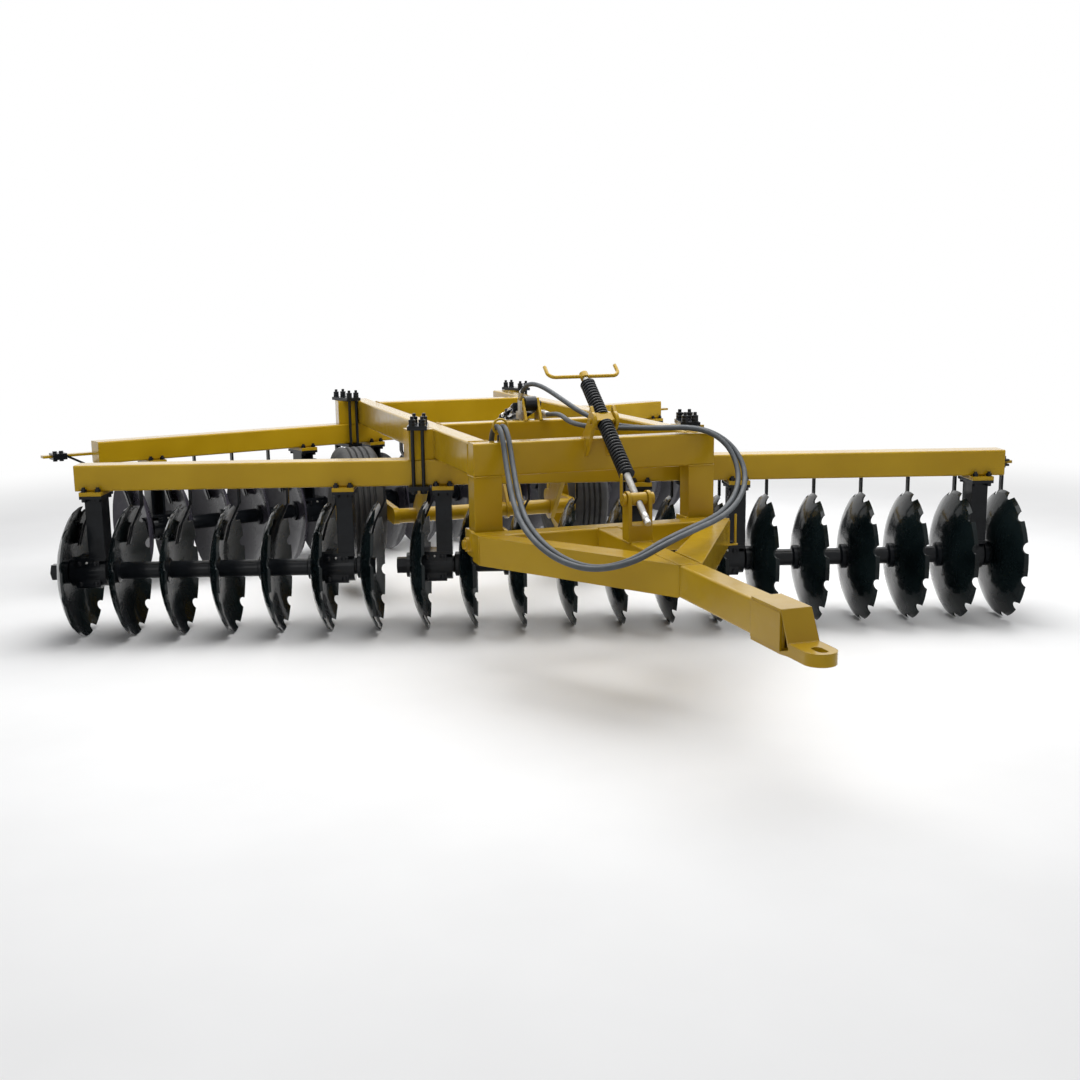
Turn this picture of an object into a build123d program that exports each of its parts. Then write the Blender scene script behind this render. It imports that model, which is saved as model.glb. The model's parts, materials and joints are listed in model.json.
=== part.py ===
"""Towed offset disc harrow with a V of two disc gangs.

Millimetres, +Z up, +Y to the rear, +X to the right of someone who looks from the drawbar
towards the machine.  The floor that the discs stand on is Z = 0 and the middle of the
footprint is the origin.  "Behind" distances are measured from the front face of the frame.
"""
import os
from math import atan2, cos, degrees, hypot, pi, radians, sin, sqrt, tan

from build123d import *

os.makedirs("parts", exist_ok=True)

# ---------------------------------------------------------------- driving dimensions
FRONT = -962                 # front face of the main frame, from the middle of the footprint
MIDDLE_X = 72                # the drawbar's line, from the middle of the footprint

# discs and their gangs
DISC_R = 305
DISC_T = 6
DISC_DEPTH = 78              # hollow of a disc, flat to rim plane
DISC_FLAT_R = 62             # flat middle that the spools clamp
DISC_EDGE = 12               # width of the ground edge
NOTCHES = 12
NOTCH_R = 27
NOTCH_OUT = 4                # middle of a notch outside the rim
PITCH = 230
FRONT_ANGLE = 16             # degrees; the right end of the front gang is further forward
REAR_ANGLE = 18              # degrees; the right end of the rear gang is further back
FRONT_GANG = 580             # behind: where the front gang crosses the middle line
GANG_SPACING = 2350
FRONT_SECTIONS = (7, 6, 7)   # discs on each rotor
REAR_SECTIONS = (6, 6, 6)
FRONT_FIRST = -2288          # flat of the first disc, along its gang
REAR_FIRST = -1980

# spools, end nuts and bearings of a gang
SPOOL_R = 40
COLLAR_R = 58
COLLAR_L = 16
COLLAR_CONE = 6              # slope between collar and tube
END_NUT_AF = 70
END_NUT_L = 46
END_WASHER_T = 16
HANGER_OFFSET = 160          # middle of a hanger, from the flat of the disc before it
HOUSING_OFFSET = 112         # middle of its bearing housing, between two discs
HOUSING_L = 112
HOUSING_W = 128
HOUSING_H = 146
HOUSING_CORNER = 24
HOUSING_FLANGE_R = 70
HOUSING_FLANGE_L = 166
BEARING_GAP = 0.4            # radial, between spool and housing
POST_L = 76                  # hanger channel along the gang
POST_W = 116                 # hanger channel across the gang
POST_WALL = 12
HANGER_PLATE_T = 14
HANGER_PLATE_L = 100
HANGER_PLATE_W = 190

# gang beams
BEAM = 120                   # square section of a gang beam
BEAM_Z = 690                 # underside of a gang beam
TUBE_CORNER = 9              # outer corner radius of the square tubes
FRONT_BEAM = (-2205, 2125)   # ends along the gang
REAR_BEAM = (-1881, 2169)
CAP_T = 18
CAP_BOLT_R = 8
CAP_BOLT_S = 32              # bolts of a cap, from its middle along the beam
CAP_BOLT_T = 78              # and across it, clear of the beam
CAP_BOLT_OUT = 8             # bolt beyond its nut
CAP_NUT_AF = 24
CAP_NUT_H = 14

# scrapers
SCRAPER_BAR_W = 50
SCRAPER_BAR_T = 14
SCRAPER_BAR_Z = 722
SCRAPER_BAR_OFF = 72         # gap between beam and bar, bridged by brackets
FRONT_BAR_OVERHANG = (12, 115)   # scraper bar past the two ends of its gang beam
REAR_BAR_OVERHANG = (240, 240)
SCRAPER_BRACKET_W = 70
SCRAPER_W = 30
SCRAPER_T = 10
SCRAPER_GAP = 8              # blade to disc
BLADE_W = 70
BLADE_H = 90
BLADE_UP = 150               # middle of a blade above the discs' axis
KNEE_UP = 290                # knee of a strip above the discs' axis
KNEE_OUT = 20                # knee beyond the rim of its disc
SCRAPER_CLAMP = (58, 80, 10)   # along the gang, across it, up
CLAMP_PAIR = 17              # the two bolts of a clamp, from its middle
SCRAPER_BOLT_R = 7
SCRAPER_NUT_AF = 21
SCRAPER_NUT_H = 11
END_CLAMP = 82               # middle of the last clamp, from the tip of the rear bar
END_CLAMP_L = 75

# main frame
FRAME_W = 1090
RAIL_W = 90
RAIL_H = 140
RAIL_Z = BEAM_Z + BEAM
RAIL_LEFT_PAST = -90         # ends of the rails, past the rear gang's crossing of the middle line
RAIL_RIGHT_PAST = 230
REAR_CROSS_PAST = -470
RAIL_LEFT_L = FRONT_GANG + GANG_SPACING + RAIL_LEFT_PAST
RAIL_RIGHT_L = FRONT_GANG + GANG_SPACING + RAIL_RIGHT_PAST
MIDDLE_BEAM = 915            # behind: front face of the middle cross beam
REAR_CROSS = FRONT_GANG + GANG_SPACING + REAR_CROSS_PAST

# clamps that hold the gang beams under the rails
CLAMP_POST_W = 118
CLAMP_POST_L = 118
CLAMP_PLATE_L = 92
CLAMP_PLATE_W = 196
CLAMP_PLATE_T = 18
CLAMP_BOLT_R = 9
CLAMP_BOLT_S = 23
CLAMP_BOLT_T = 84
CLAMP_BOLT_UP = 46           # bolt above the top plate
CLAMP_NUT_AF = 30
CLAMP_NUT_H = 16

# drawbar
LEG_W = 120
LEG_FOOT_R = 45
HINGE_Z = 525
HINGE_PIN_R = 20
PIN_GAP = 0.3
HINGE_GAP = 66               # pin to the rear face of the drawbar's cross tube
EAR_T = 15
EAR_GAP = 3
PIN_HEAD_R = 31
PIN_HEAD_T = 13
PIN_OUT = 24                 # pin beyond the ears
DRAW_H = 120
DRAW_W = 90
DRAW_CROSS_D = 100
DRAW_NOSE = 940              # nose of the A frame in front of the frame
ARM_FOOT = 112               # an arm's width where it meets the cross tube
ARM_MERGE = 234              # an arm's inner side meets the spine this far behind the nose
TONGUE_END = 1690
TONGUE_WALL = 8
WRAP_T = 10
WRAP_L = 190
HITCH_W = 106
HITCH_T = 20                 # each of the hitch plates
HITCH_Z = 500                # top of the hitch plates
SLOT_Y = 1830                # in front of the frame
SLOT_W = 34
SLOT_L = 64
HITCH_RUN = 1740             # where the bent plates reach the hitch level

# levelling screw
TRUNNION = (-72, 1030)       # behind, height
SCREW_PIN = (-440, 752)      # fork pin on the drawbar
SCREW_R = 14
SCREW_BACK = 300             # rod behind the trunnion
SCREW_FRONT = 600            # rod in front of the trunnion
SPRING_R = 33
SPRING_ABOVE = 210
SPRING_BELOW = 300
TRUNNION_R = 24
EAR_PLATE_T = 14
SCREW_EARS_IN = 42           # middle line to the inner face of an ear
FORK_IN = 36
FORK_T = 14
FORK_W = 66
FORK_BASE = 65               # height of the block between the fork's plates
NUT_R = 26
NUT_GAP = 1                  # radial, between nut bore and screw
NUT_COLLAR_R = 25
NUT_COLLAR_T = 12
HANDLE_L = 95
HANDLE_W = 18
HANDLE_T = 6
CRANK_HALF = 170
CRANK_UP = 70
CRANK_R = 8
CRANK_BEND = 32
CRANK_HUB_R = 20
CRANK_HUB_L = 30
SCREW_EAR_DROP = 78          # ear down the front face of the beam
SCREW_EAR_SEAT = 46          # ear along the top of the beam
SCREW_EAR_BOSS = 38
SCREW_EAR_TIP = 62           # pointed top above the trunnion
SCREW_EAR_TIP_R = 12
TRUNNION_END = 8             # trunnion beyond the ears

# transport axle
AXLE_X = -140                # middle of the axle: it lies to the left of the frame's middle
SHAFT = (1290, 455)          # behind, height
SHAFT_R = 38
SHAFT_HALF = 488
SHAFT_GAP = 0.4
BRACKET_HALF = 360           # bearing brackets, from the middle of the axle
BRACKET_T = 22
BRACKET_R = 64
ARM_T = 30
ARM_W = 84
ARM_L = 360
STUB_R = 24
WHEEL_GAP = 14               # arm to wheel hub
WHEEL_R = 325
TYRE_W = 220
RIM_R = 205
RIM_WALL = 9
HUB_R = 58
HUB_OUT = 60                 # hub beyond the middle of the wheel
STUB_OUT = 6                 # stub axle beyond the hub
TYRE_SHOULDER = 34
TYRE_WALL = 50               # height of the slope from bead to side wall
TYRE_BEAD = 28               # bead in from the side wall
RIM_DISH = 20                # face of the wheel disc, from the middle of the wheel
RIM_WELL = 30                # depth of the well under the tyre
RIM_SLOPE = 60
GROOVE_D = 12
GROOVE_W = 12
GROOVES = 4

# lift cylinder
CYL_X = 15
CYL_PIN = (985, 1026)        # behind, height
LEVER_PIN = (1556, 846)
LEVER_T = 16
LEVER_IN = 30                # middle line to the inner face of a lever plate
LEVER_W = 96
LEVER_PIN_OUT = 14           # pin beyond the lever plates
CYL_R = 45
CYL_START = 58               # pin to the near end of the barrel
CYL_L = 470                  # pin to the rod end of the barrel
ROD_R = 20
EYE_R = 38
EYE_W = 50
CYL_PIN_R = 16
CYL_EAR_IN = 32
CYL_EAR_T = 14
CYL_EAR_TOP = 30             # ear above the pin
CYL_EAR_SIDE = 26            # ear in front of and behind the pin
CYL_EAR_FLAT = 12            # half of its flat top
CYL_BOTTOM = 20              # thickness of the barrel's closed end
PISTON_GAP = 10              # rod's inner end to that closed end
CYL_PIN_OUT = 10             # pin beyond the ears
PIPE_R = 8
PIPE_OFF = 14                # the two pipes, above and below the barrel's middle line
PIPE_START = 92              # ends of the pipes, from the pin
PIPE_ENDS = (446, 318)
PORT_R = 13
PORT_L = 30                  # length of a port block along the barrel

# hoses: X, distance behind the frame's front face, height
HOSE_R = 11
HOSE_1 = (
    (-46, 933, 1069), (-46, 892, 1110), (-42, 812, 1136), (-32, 706, 1138), (-16, 584, 1116),
    (4, 446, 1080), (36, 300, 1034), (100, 182, 996), (200, 96, 978), (318, 54, 976),
    (430, 26, 978), (520, -26, 960), (584, -90, 906), (602, -168, 832), (566, -262, 762),
    (478, -376, 708), (358, -506, 680), (214, -660, 678), (60, -818, 682), (-96, -930, 664),
    (-236, -960, 610), (-352, -876, 576), (-426, -736, 588), (-464, -574, 626), (-474, -408, 682),
    (-458, -254, 752), (-440, -136, 838), (-430, -66, 910), (-427, -33, 967), (-427, 13, 1012),
    (-427, 77, 1012), (-433, 122, 967), (-433, 122, 905),
)
HOSE_2 = (
    (76, 918, 980), (76, 864, 980), (70, 790, 988), (56, 670, 998), (34, 540, 998), (10, 412, 992),
    (4, 296, 986), (28, 186, 982), (100, 104, 980), (186, 71, 978), (310, 27, 976), (419, 0, 978),
    (503, -48, 960), (559, -104, 906), (573, -166, 832), (541, -248, 762), (457, -358, 708),
    (337, -487, 680), (194, -641, 678), (42, -797, 682), (-108, -904, 664), (-230, -930, 610),
    (-330, -857, 576), (-400, -726, 588), (-436, -570, 626), (-448, -409, 682), (-432, -257, 752),
    (-414, -140, 838), (-404, -69, 910), (-402, -33, 967), (-402, 13, 1012), (-402, 77, 1012),
    (-396, 122, 967), (-396, 122, 905),
)
BEND_SHARE = 0.45            # share of the shorter run that a bend takes up
RING = (-414.5, 45, 1012)    # middle of the ring that the hoses lie in, on the front beam
RING_R = 26
RING_WIRE_R = 5
FITTING_AT = (962, 976)      # behind, height: block on the outer face of a cylinder ear
FITTING_SIDE = 36
FITTING_DEPTH = 27
FITTING_OUT = 15             # line of the ferrule, from that face
ELBOW_R = 20
COUPLER = ((13, 22), (16, 40), (9, 20))   # radius and length of each step, from the hose


# ---------------------------------------------------------------- shared places
def behind(distance):
    """Y of a place that lies this far behind the frame's front face."""
    return FRONT + distance


RAIL_TOP = RAIL_Z + RAIL_H
HALF = FRAME_W / 2
CAP_Z = BEAM_Z - CAP_T       # underside of the yellow caps, top of the hangers

front_gang = Plane(
    origin=(0, behind(FRONT_GANG), 0),
    x_dir=(cos(radians(FRONT_ANGLE)), -sin(radians(FRONT_ANGLE)), 0),
    z_dir=(0, 0, 1),
)
# the rear gang is the front one turned about: its own s runs to the left, its t to the front
rear_gang = Plane(
    origin=(0, behind(FRONT_GANG + GANG_SPACING), 0),
    x_dir=(-cos(radians(REAR_ANGLE)), -sin(radians(REAR_ANGLE)), 0),
    z_dir=(0, 0, 1),
)


def save(solid, name):
    """Name a finished piece and write it where it stands in the whole machine."""
    piece = Pos(MIDDLE_X, 0, 0) * solid
    piece.label = name
    export_step(piece, f"parts/{name}.step")


def place(gang, s, t=0, z=0, turn=0):
    """Location on a gang: s along it, t across it, z up, turned about the vertical."""
    return gang.location * Location((s, t, z), (0, 0, turn))


def across(gang, s):
    """Plane square to a gang's axis, sketched with t to the right and z up."""
    return Plane(origin=gang.from_local_coords(Vector(s, 0, 0)), x_dir=gang.y_dir, z_dir=gang.x_dir)


def side_plane(x):
    """Plane square to X, sketched with Y to the right and Z up."""
    return Plane(origin=(x, 0, 0), x_dir=(0, 1, 0), z_dir=(1, 0, 0))


def stations(first, sections):
    """Flat of every disc, one list for each rotor."""
    table, index = [], 0
    for count in sections:
        table.append([first + PITCH * (index + k) for k in range(count)])
        index += count
    return table


front_stations = stations(FRONT_FIRST, FRONT_SECTIONS)
rear_stations = stations(REAR_FIRST, REAR_SECTIONS)


def hanger_stations(rotors):
    """Each rotor hangs at its first gap and at its last but one."""
    return [row[k] for row in rotors for k in (0, len(row) - 2)]


# ---------------------------------------------------------------- discs
SPHERE_R = ((DISC_R - DISC_FLAT_R) ** 2 + DISC_DEPTH**2) / (2 * DISC_DEPTH)


def dish(radius, r):
    """Axial place of a sphere of this radius about the disc's centre of curvature."""
    return SPHERE_R - sqrt(radius**2 - (r - DISC_FLAT_R) ** 2)


def hollow(r):
    """Depth of the hollow face at radius r."""
    return 0 if r < DISC_FLAT_R else dish(SPHERE_R, r)


def disc_blank(notched):
    """One disc about the X axis, its flat hollow face at X = 0."""
    back = SPHERE_R + DISC_T
    edge_r = DISC_R - DISC_EDGE
    mid_r = (DISC_FLAT_R + DISC_R) / 2
    with BuildPart() as disc:
        with BuildSketch(Plane.XZ):
            with BuildLine():
                Polyline((-DISC_T, DISC_FLAT_R), (-DISC_T, 0), (0, 0), (0, DISC_FLAT_R))
                ThreePointArc((0, DISC_FLAT_R), (hollow(mid_r), mid_r), (DISC_DEPTH, DISC_R))
                Line((DISC_DEPTH, DISC_R), (dish(back, edge_r), edge_r))
                ThreePointArc(
                    (dish(back, edge_r), edge_r), (dish(back, mid_r), mid_r), (-DISC_T, DISC_FLAT_R)
                )
            make_face()
        revolve(axis=Axis.X)
        if notched:
            with BuildSketch(Plane.YZ):
                with PolarLocations(DISC_R + NOTCH_OUT, NOTCHES, start_angle=360 / NOTCHES / 2 - 90):
                    Circle(NOTCH_R)
            extrude(amount=DISC_DEPTH * 1.5, mode=Mode.SUBTRACT)
    return disc.part


def spool_blank():
    """The tube between two discs, with a collar at each end, from X = 0."""
    length = PITCH - DISC_T
    with BuildPart() as spool:
        with BuildSketch(Plane.XZ):
            Polygon(
                (0, 0), (0, COLLAR_R), (COLLAR_L, COLLAR_R), (COLLAR_L + COLLAR_CONE, SPOOL_R),
                (length - COLLAR_L - COLLAR_CONE, SPOOL_R), (length - COLLAR_L, COLLAR_R),
                (length, COLLAR_R), (length, 0), align=None,
            )
        revolve(axis=Axis.X)
    return spool.part


def nut_blank():
    """Washer and nut at the end of a rotor, from X = 0."""
    with BuildPart() as nut:
        with BuildSketch(Plane.YZ):
            Circle(COLLAR_R)
        extrude(amount=END_WASHER_T)
        with BuildSketch(Plane.YZ.offset(END_WASHER_T)):
            RegularPolygon(END_NUT_AF / 2, 6, major_radius=False)
        extrude(amount=END_NUT_L)
    return nut.part


def rotor_discs(gang, row, blank):
    with BuildPart() as discs:
        with Locations(*[place(gang, s, 0, DISC_R) for s in row]):
            add(blank)
    return discs.part


def rotor_spools(gang, row, spool, nut):
    with BuildPart() as spools:
        with Locations(*[place(gang, s, 0, DISC_R) for s in row[:-1]]):
            add(spool)
        with Locations(place(gang, row[-1], 0, DISC_R), place(gang, row[0] - DISC_T, 0, DISC_R, 180)):
            add(nut)
    return spools.part


notched_disc = disc_blank(notched=True)
plain_disc = disc_blank(notched=False)
spool = spool_blank()
end_nut = nut_blank()

SIDES = ("left", "middle", "right")
for side, row in zip(SIDES, front_stations):
    front_discs = rotor_discs(front_gang, row, notched_disc)
    save(front_discs, f"front_discs_{side}")
    front_spools = rotor_spools(front_gang, row, spool, end_nut)
    save(front_spools, f"front_spools_{side}")

for side, row in zip(reversed(SIDES), rear_stations):
    rear_discs = rotor_discs(rear_gang, row, plain_disc)
    save(rear_discs, f"rear_discs_{side}")
    rear_spools = rotor_spools(rear_gang, row, spool, end_nut)
    save(rear_spools, f"rear_spools_{side}")


# ---------------------------------------------------------------- hangers and gang beams
CAP_BOLTS = [(s, t) for s in (-CAP_BOLT_S, CAP_BOLT_S) for t in (-CAP_BOLT_T, CAP_BOLT_T)]


def hanger_blank():
    """Plate, channel post and bearing housing, at s = 0, hanging from the caps."""
    base_z = DISC_R + HOUSING_H / 2
    shift = HOUSING_OFFSET - HANGER_OFFSET
    with BuildPart() as hanger:
        with BuildSketch(Plane.XY.offset(CAP_Z - HANGER_PLATE_T)):
            Rectangle(HANGER_PLATE_L, HANGER_PLATE_W)
        extrude(amount=HANGER_PLATE_T)
        with BuildSketch(Plane.XY.offset(base_z)):
            Rectangle(POST_L, POST_W)
            with Locations((0, POST_WALL)):
                Rectangle(POST_L - 2 * POST_WALL, POST_W, mode=Mode.SUBTRACT)
        extrude(amount=CAP_Z - HANGER_PLATE_T - base_z)
        with BuildSketch(Plane.YZ.offset(shift - HOUSING_L / 2)):
            with Locations((0, DISC_R)):
                RectangleRounded(HOUSING_W, HOUSING_H, HOUSING_CORNER)
        extrude(amount=HOUSING_L)
        with BuildSketch(Plane.XY.offset(base_z - HANGER_PLATE_T)):
            with Locations(((POST_L / 2 + shift - HOUSING_L / 2) / 2, 0)):
                Rectangle(POST_L / 2 - shift + HOUSING_L / 2, HOUSING_W)
        extrude(amount=HANGER_PLATE_T)
        with BuildSketch(Plane.YZ.offset(shift - HOUSING_FLANGE_L / 2)):
            with Locations((0, DISC_R)):
                Circle(HOUSING_FLANGE_R)
        extrude(amount=HOUSING_FLANGE_L)
        with BuildSketch(Plane.YZ.offset(shift - PITCH / 2)):
            with Locations((0, DISC_R)):
                Circle(SPOOL_R + BEARING_GAP)
        extrude(amount=PITCH, mode=Mode.SUBTRACT)
        low = CAP_Z - HANGER_PLATE_T - CAP_NUT_H
        with BuildSketch(Plane.XY.offset(low)):
            with Locations(*CAP_BOLTS):
                RegularPolygon(CAP_NUT_AF / 2, 6, major_radius=False)
        extrude(amount=CAP_NUT_H)
        with BuildSketch(Plane.XY.offset(low)):
            with Locations(*CAP_BOLTS):
                Circle(CAP_BOLT_R)
        extrude(amount=BEAM_Z + CAP_NUT_H + CAP_BOLT_OUT - low)
        with BuildSketch(Plane.XY.offset(BEAM_Z)):
            with Locations(*CAP_BOLTS):
                RegularPolygon(CAP_NUT_AF / 2, 6, major_radius=False)
        extrude(amount=CAP_NUT_H)
    return hanger.part


hanger = hanger_blank()
# row: name, gang, rotors, ends of the beam, bar overhang, which way the machine's rear lies along t
GANGS = (
    ("front", front_gang, front_stations, FRONT_BEAM, FRONT_BAR_OVERHANG, 1),
    ("rear", rear_gang, rear_stations, REAR_BEAM, REAR_BAR_OVERHANG, -1),
)

for name, gang, rotors, (start, end), overhang, back in GANGS:
    with BuildPart() as hangers:
        with Locations(*[place(gang, s + HANGER_OFFSET) for s in hanger_stations(rotors)]):
            add(hanger)
    save(hangers.part, f"{name}_hangers")

    with BuildPart() as beam:
        with BuildSketch(across(gang, start)):
            with Locations((0, BEAM_Z + BEAM / 2)):
                RectangleRounded(BEAM, BEAM, TUBE_CORNER)
        extrude(amount=end - start)
    save(beam.part, f"{name}_gang_beam")

with BuildPart() as hanger_caps:
    for name, gang, rotors, ends, overhang, back in GANGS:
        with BuildSketch(gang.offset(CAP_Z)):
            with Locations(*[(s + HANGER_OFFSET, 0) for s in hanger_stations(rotors)]):
                Rectangle(HANGER_PLATE_L, HANGER_PLATE_W)
                with Locations(*CAP_BOLTS):
                    Circle(CAP_BOLT_R, mode=Mode.SUBTRACT)
        extrude(amount=CAP_T)
save(hanger_caps.part, "hanger_caps")


# ---------------------------------------------------------------- scrapers
BAR_T0 = BEAM / 2 + SCRAPER_BAR_OFF            # near face of the bar, from the beam's middle
BLADE_Z = DISC_R + BLADE_UP                    # middle of a blade
BLADE_T = BAR_T0 - SCRAPER_W / 2               # strips lie against the near face of the bar
LOW, HIGH = BLADE_Z - BLADE_H / 2, BLADE_Z + BLADE_H / 2
KNEE_Z = DISC_R + KNEE_UP
KNEE = DISC_DEPTH + KNEE_OUT
BAR_TOP = SCRAPER_BAR_Z + SCRAPER_BAR_T


def face(z):
    """Inner face of a strip at height z, clear of the hollow of its disc."""
    reach = hypot(BLADE_T + BLADE_W / 2, z - DISC_R)
    return hollow(min(reach, DISC_R)) + SCRAPER_GAP


def scraper_blank(back, strip, clamp_s, clamp_l):
    """A strip with its blade, and plates over and under the bar, for the disc whose flat is at s = 0."""
    clamp_w, clamp_t = SCRAPER_CLAMP[1:]
    clamp_at = (clamp_s, back * (BLADE_T - SCRAPER_W / 2 + clamp_w / 2))
    pair = [(clamp_s + step, clamp_at[1]) for step in (-CLAMP_PAIR, CLAMP_PAIR)]
    with BuildPart() as scraper:
        with BuildSketch(Plane.XZ.offset(-back * BLADE_T)):
            Polygon(*strip, align=None)
        extrude(amount=SCRAPER_W / 2, both=True)
        with BuildSketch(Plane.XZ.offset(-back * BLADE_T)):
            Polygon(
                (face(LOW), LOW), (face(HIGH), HIGH), (face(HIGH) + SCRAPER_T / 2, HIGH),
                (face(LOW) + SCRAPER_T / 2, LOW), align=None,
            )
        extrude(amount=BLADE_W / 2, both=True)
        for plate_z, nut_z in ((BAR_TOP, BAR_TOP + clamp_t),
                               (SCRAPER_BAR_Z - clamp_t, SCRAPER_BAR_Z - clamp_t - SCRAPER_NUT_H)):
            with BuildSketch(Plane.XY.offset(plate_z)):
                with Locations(clamp_at):
                    Rectangle(clamp_l, clamp_w)
            extrude(amount=clamp_t)
            with BuildSketch(Plane.XY.offset(nut_z)):
                with Locations(*pair):
                    RegularPolygon(SCRAPER_NUT_AF / 2, 6, major_radius=False)
            extrude(amount=SCRAPER_NUT_H)
    return scraper.part


STRIP = (
    (face(LOW), LOW), (face(HIGH), HIGH), (KNEE, KNEE_Z), (KNEE, BAR_TOP),
    (KNEE + SCRAPER_T, BAR_TOP), (KNEE + SCRAPER_T, KNEE_Z),
    (face(HIGH) + SCRAPER_T, HIGH), (face(LOW) + SCRAPER_T, LOW),
)
# the last rear disc is scraped from a clamp near the tip of the bar
END_S = REAR_BEAM[1] + REAR_BAR_OVERHANG[1] - END_CLAMP - rear_stations[-1][-1]
END_IN = END_S - END_CLAMP_L / 2
END_STRIP = (
    (face(LOW), LOW), (face(HIGH), HIGH), (KNEE, KNEE_Z), (END_IN, BAR_TOP),
    (END_S + END_CLAMP_L / 2, BAR_TOP), (END_S + END_CLAMP_L / 2, SCRAPER_BAR_Z),
    (END_IN, SCRAPER_BAR_Z), (KNEE + SCRAPER_T, KNEE_Z - SCRAPER_T / 2),
    (face(HIGH) + SCRAPER_T, HIGH), (face(LOW) + SCRAPER_T, LOW),
)
for name, gang, rotors, ends, overhang, back in GANGS:
    blank = scraper_blank(back, STRIP, KNEE + SCRAPER_T / 2, SCRAPER_CLAMP[0])
    flats = [s for row in rotors for s in row]
    if name == "rear":
        last = scraper_blank(back, END_STRIP, END_S, END_CLAMP_L)
    else:
        last = blank
    with BuildPart() as scrapers:
        with Locations(*[place(gang, s) for s in flats[:-1]]):
            add(blank)
        with Locations(place(gang, flats[-1])):
            add(last)
    save(scrapers.part, f"{name}_scrapers")

with BuildPart() as scraper_bars:
    for name, gang, rotors, (start, end), overhang, back in GANGS:
        bar_start, bar_end = start - overhang[0], end + overhang[1]
        with BuildSketch(gang.offset(SCRAPER_BAR_Z)):
            with Locations(((bar_start + bar_end) / 2, back * (BAR_T0 + SCRAPER_BAR_W / 2))):
                Rectangle(bar_end - bar_start, SCRAPER_BAR_W)
        extrude(amount=SCRAPER_BAR_T)
        with BuildSketch(gang.offset(SCRAPER_BAR_Z)):
            with Locations(*[(s + HANGER_OFFSET, back * (BEAM + SCRAPER_BAR_OFF) / 2)
                             for s in hanger_stations(rotors)]):
                Rectangle(SCRAPER_BRACKET_W, SCRAPER_BAR_OFF)
        extrude(amount=SCRAPER_BAR_T)
save(scraper_bars.part, "scraper_bars")


# ---------------------------------------------------------------- main frame
def rail(x, start, length):
    """A square-cornered tube that runs back from `start` at this X."""
    with BuildPart() as tube:
        with BuildSketch(Plane.XZ.offset(-behind(start))):
            with Locations((x, RAIL_Z + RAIL_H / 2)):
                RectangleRounded(RAIL_W, RAIL_H, TUBE_CORNER)
        extrude(amount=-length)
    return tube.part


def cross_beam(start, half):
    """A tube across the frame whose front face is at `start`."""
    with BuildPart() as tube:
        with BuildSketch(side_plane(-half)):
            with Locations((behind(start) + RAIL_W / 2, RAIL_Z + RAIL_H / 2)):
                RectangleRounded(RAIL_W, RAIL_H, TUBE_CORNER)
        extrude(amount=2 * half)
    return tube.part


rail_left = rail(-HALF + RAIL_W / 2, RAIL_W, RAIL_LEFT_L - RAIL_W)
save(rail_left, "rail_left")
rail_right = rail(HALF - RAIL_W / 2, RAIL_W, RAIL_RIGHT_L - RAIL_W)
save(rail_right, "rail_right")
front_beam = cross_beam(0, HALF)
save(front_beam, "front_cross_beam")
middle_beam = cross_beam(MIDDLE_BEAM, HALF - RAIL_W)
save(middle_beam, "middle_cross_beam")
rear_beam = cross_beam(REAR_CROSS, HALF - RAIL_W)
save(rear_beam, "rear_cross_beam")

# legs: they carry the drawbar's hinge under the two front corners
HINGE_Y = behind(RAIL_W / 2)
for side, sign in (("left", -1), ("right", 1)):
    with BuildPart() as leg:
        with BuildSketch(side_plane(sign * HALF - (LEG_W if sign > 0 else 0))):
            with Locations((HINGE_Y, (HINGE_Z + RAIL_Z) / 2)):
                Rectangle(RAIL_W, RAIL_Z - HINGE_Z)
            with Locations((HINGE_Y, HINGE_Z)):
                Circle(LEG_FOOT_R)
                Circle(HINGE_PIN_R + PIN_GAP, mode=Mode.SUBTRACT)
        extrude(amount=LEG_W)
    save(leg.part, f"drawbar_leg_{side}")

# clamps: a post beside the rail on the gang beam, a plate over it and one under the beam
CLAMP_X = HALF + CLAMP_POST_W / 2
CLAMPS = []
for gang, angle in ((front_gang, FRONT_ANGLE), (rear_gang, -REAR_ANGLE)):
    for x in (-CLAMP_X, CLAMP_X):
        CLAMPS.append((x, gang.origin.Y - x * tan(radians(angle)), -angle))

with BuildPart() as clamp_posts:
    with BuildSketch(Plane.XY.offset(RAIL_Z)):
        with Locations(*[(x, y) for x, y, turn in CLAMPS]):
            Rectangle(CLAMP_POST_W, CLAMP_POST_L)
    extrude(amount=RAIL_H)
save(clamp_posts.part, "clamp_posts")

BOLT_SPOTS = [(s, t) for s in (-CLAMP_BOLT_S, CLAMP_BOLT_S) for t in (-CLAMP_BOLT_T, CLAMP_BOLT_T)]
with BuildPart() as clamp_plates:
    for x, y, turn in CLAMPS:
        here = Plane(Location((x, y, 0), (0, 0, turn)))
        for z in (RAIL_TOP, BEAM_Z - CLAMP_PLATE_T):
            with BuildSketch(here.offset(z)):
                Rectangle(CLAMP_PLATE_L, CLAMP_PLATE_W)
                with Locations(*BOLT_SPOTS):
                    Circle(CLAMP_BOLT_R, mode=Mode.SUBTRACT)
            extrude(amount=CLAMP_PLATE_T)
save(clamp_plates.part, "clamp_plates")

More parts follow.
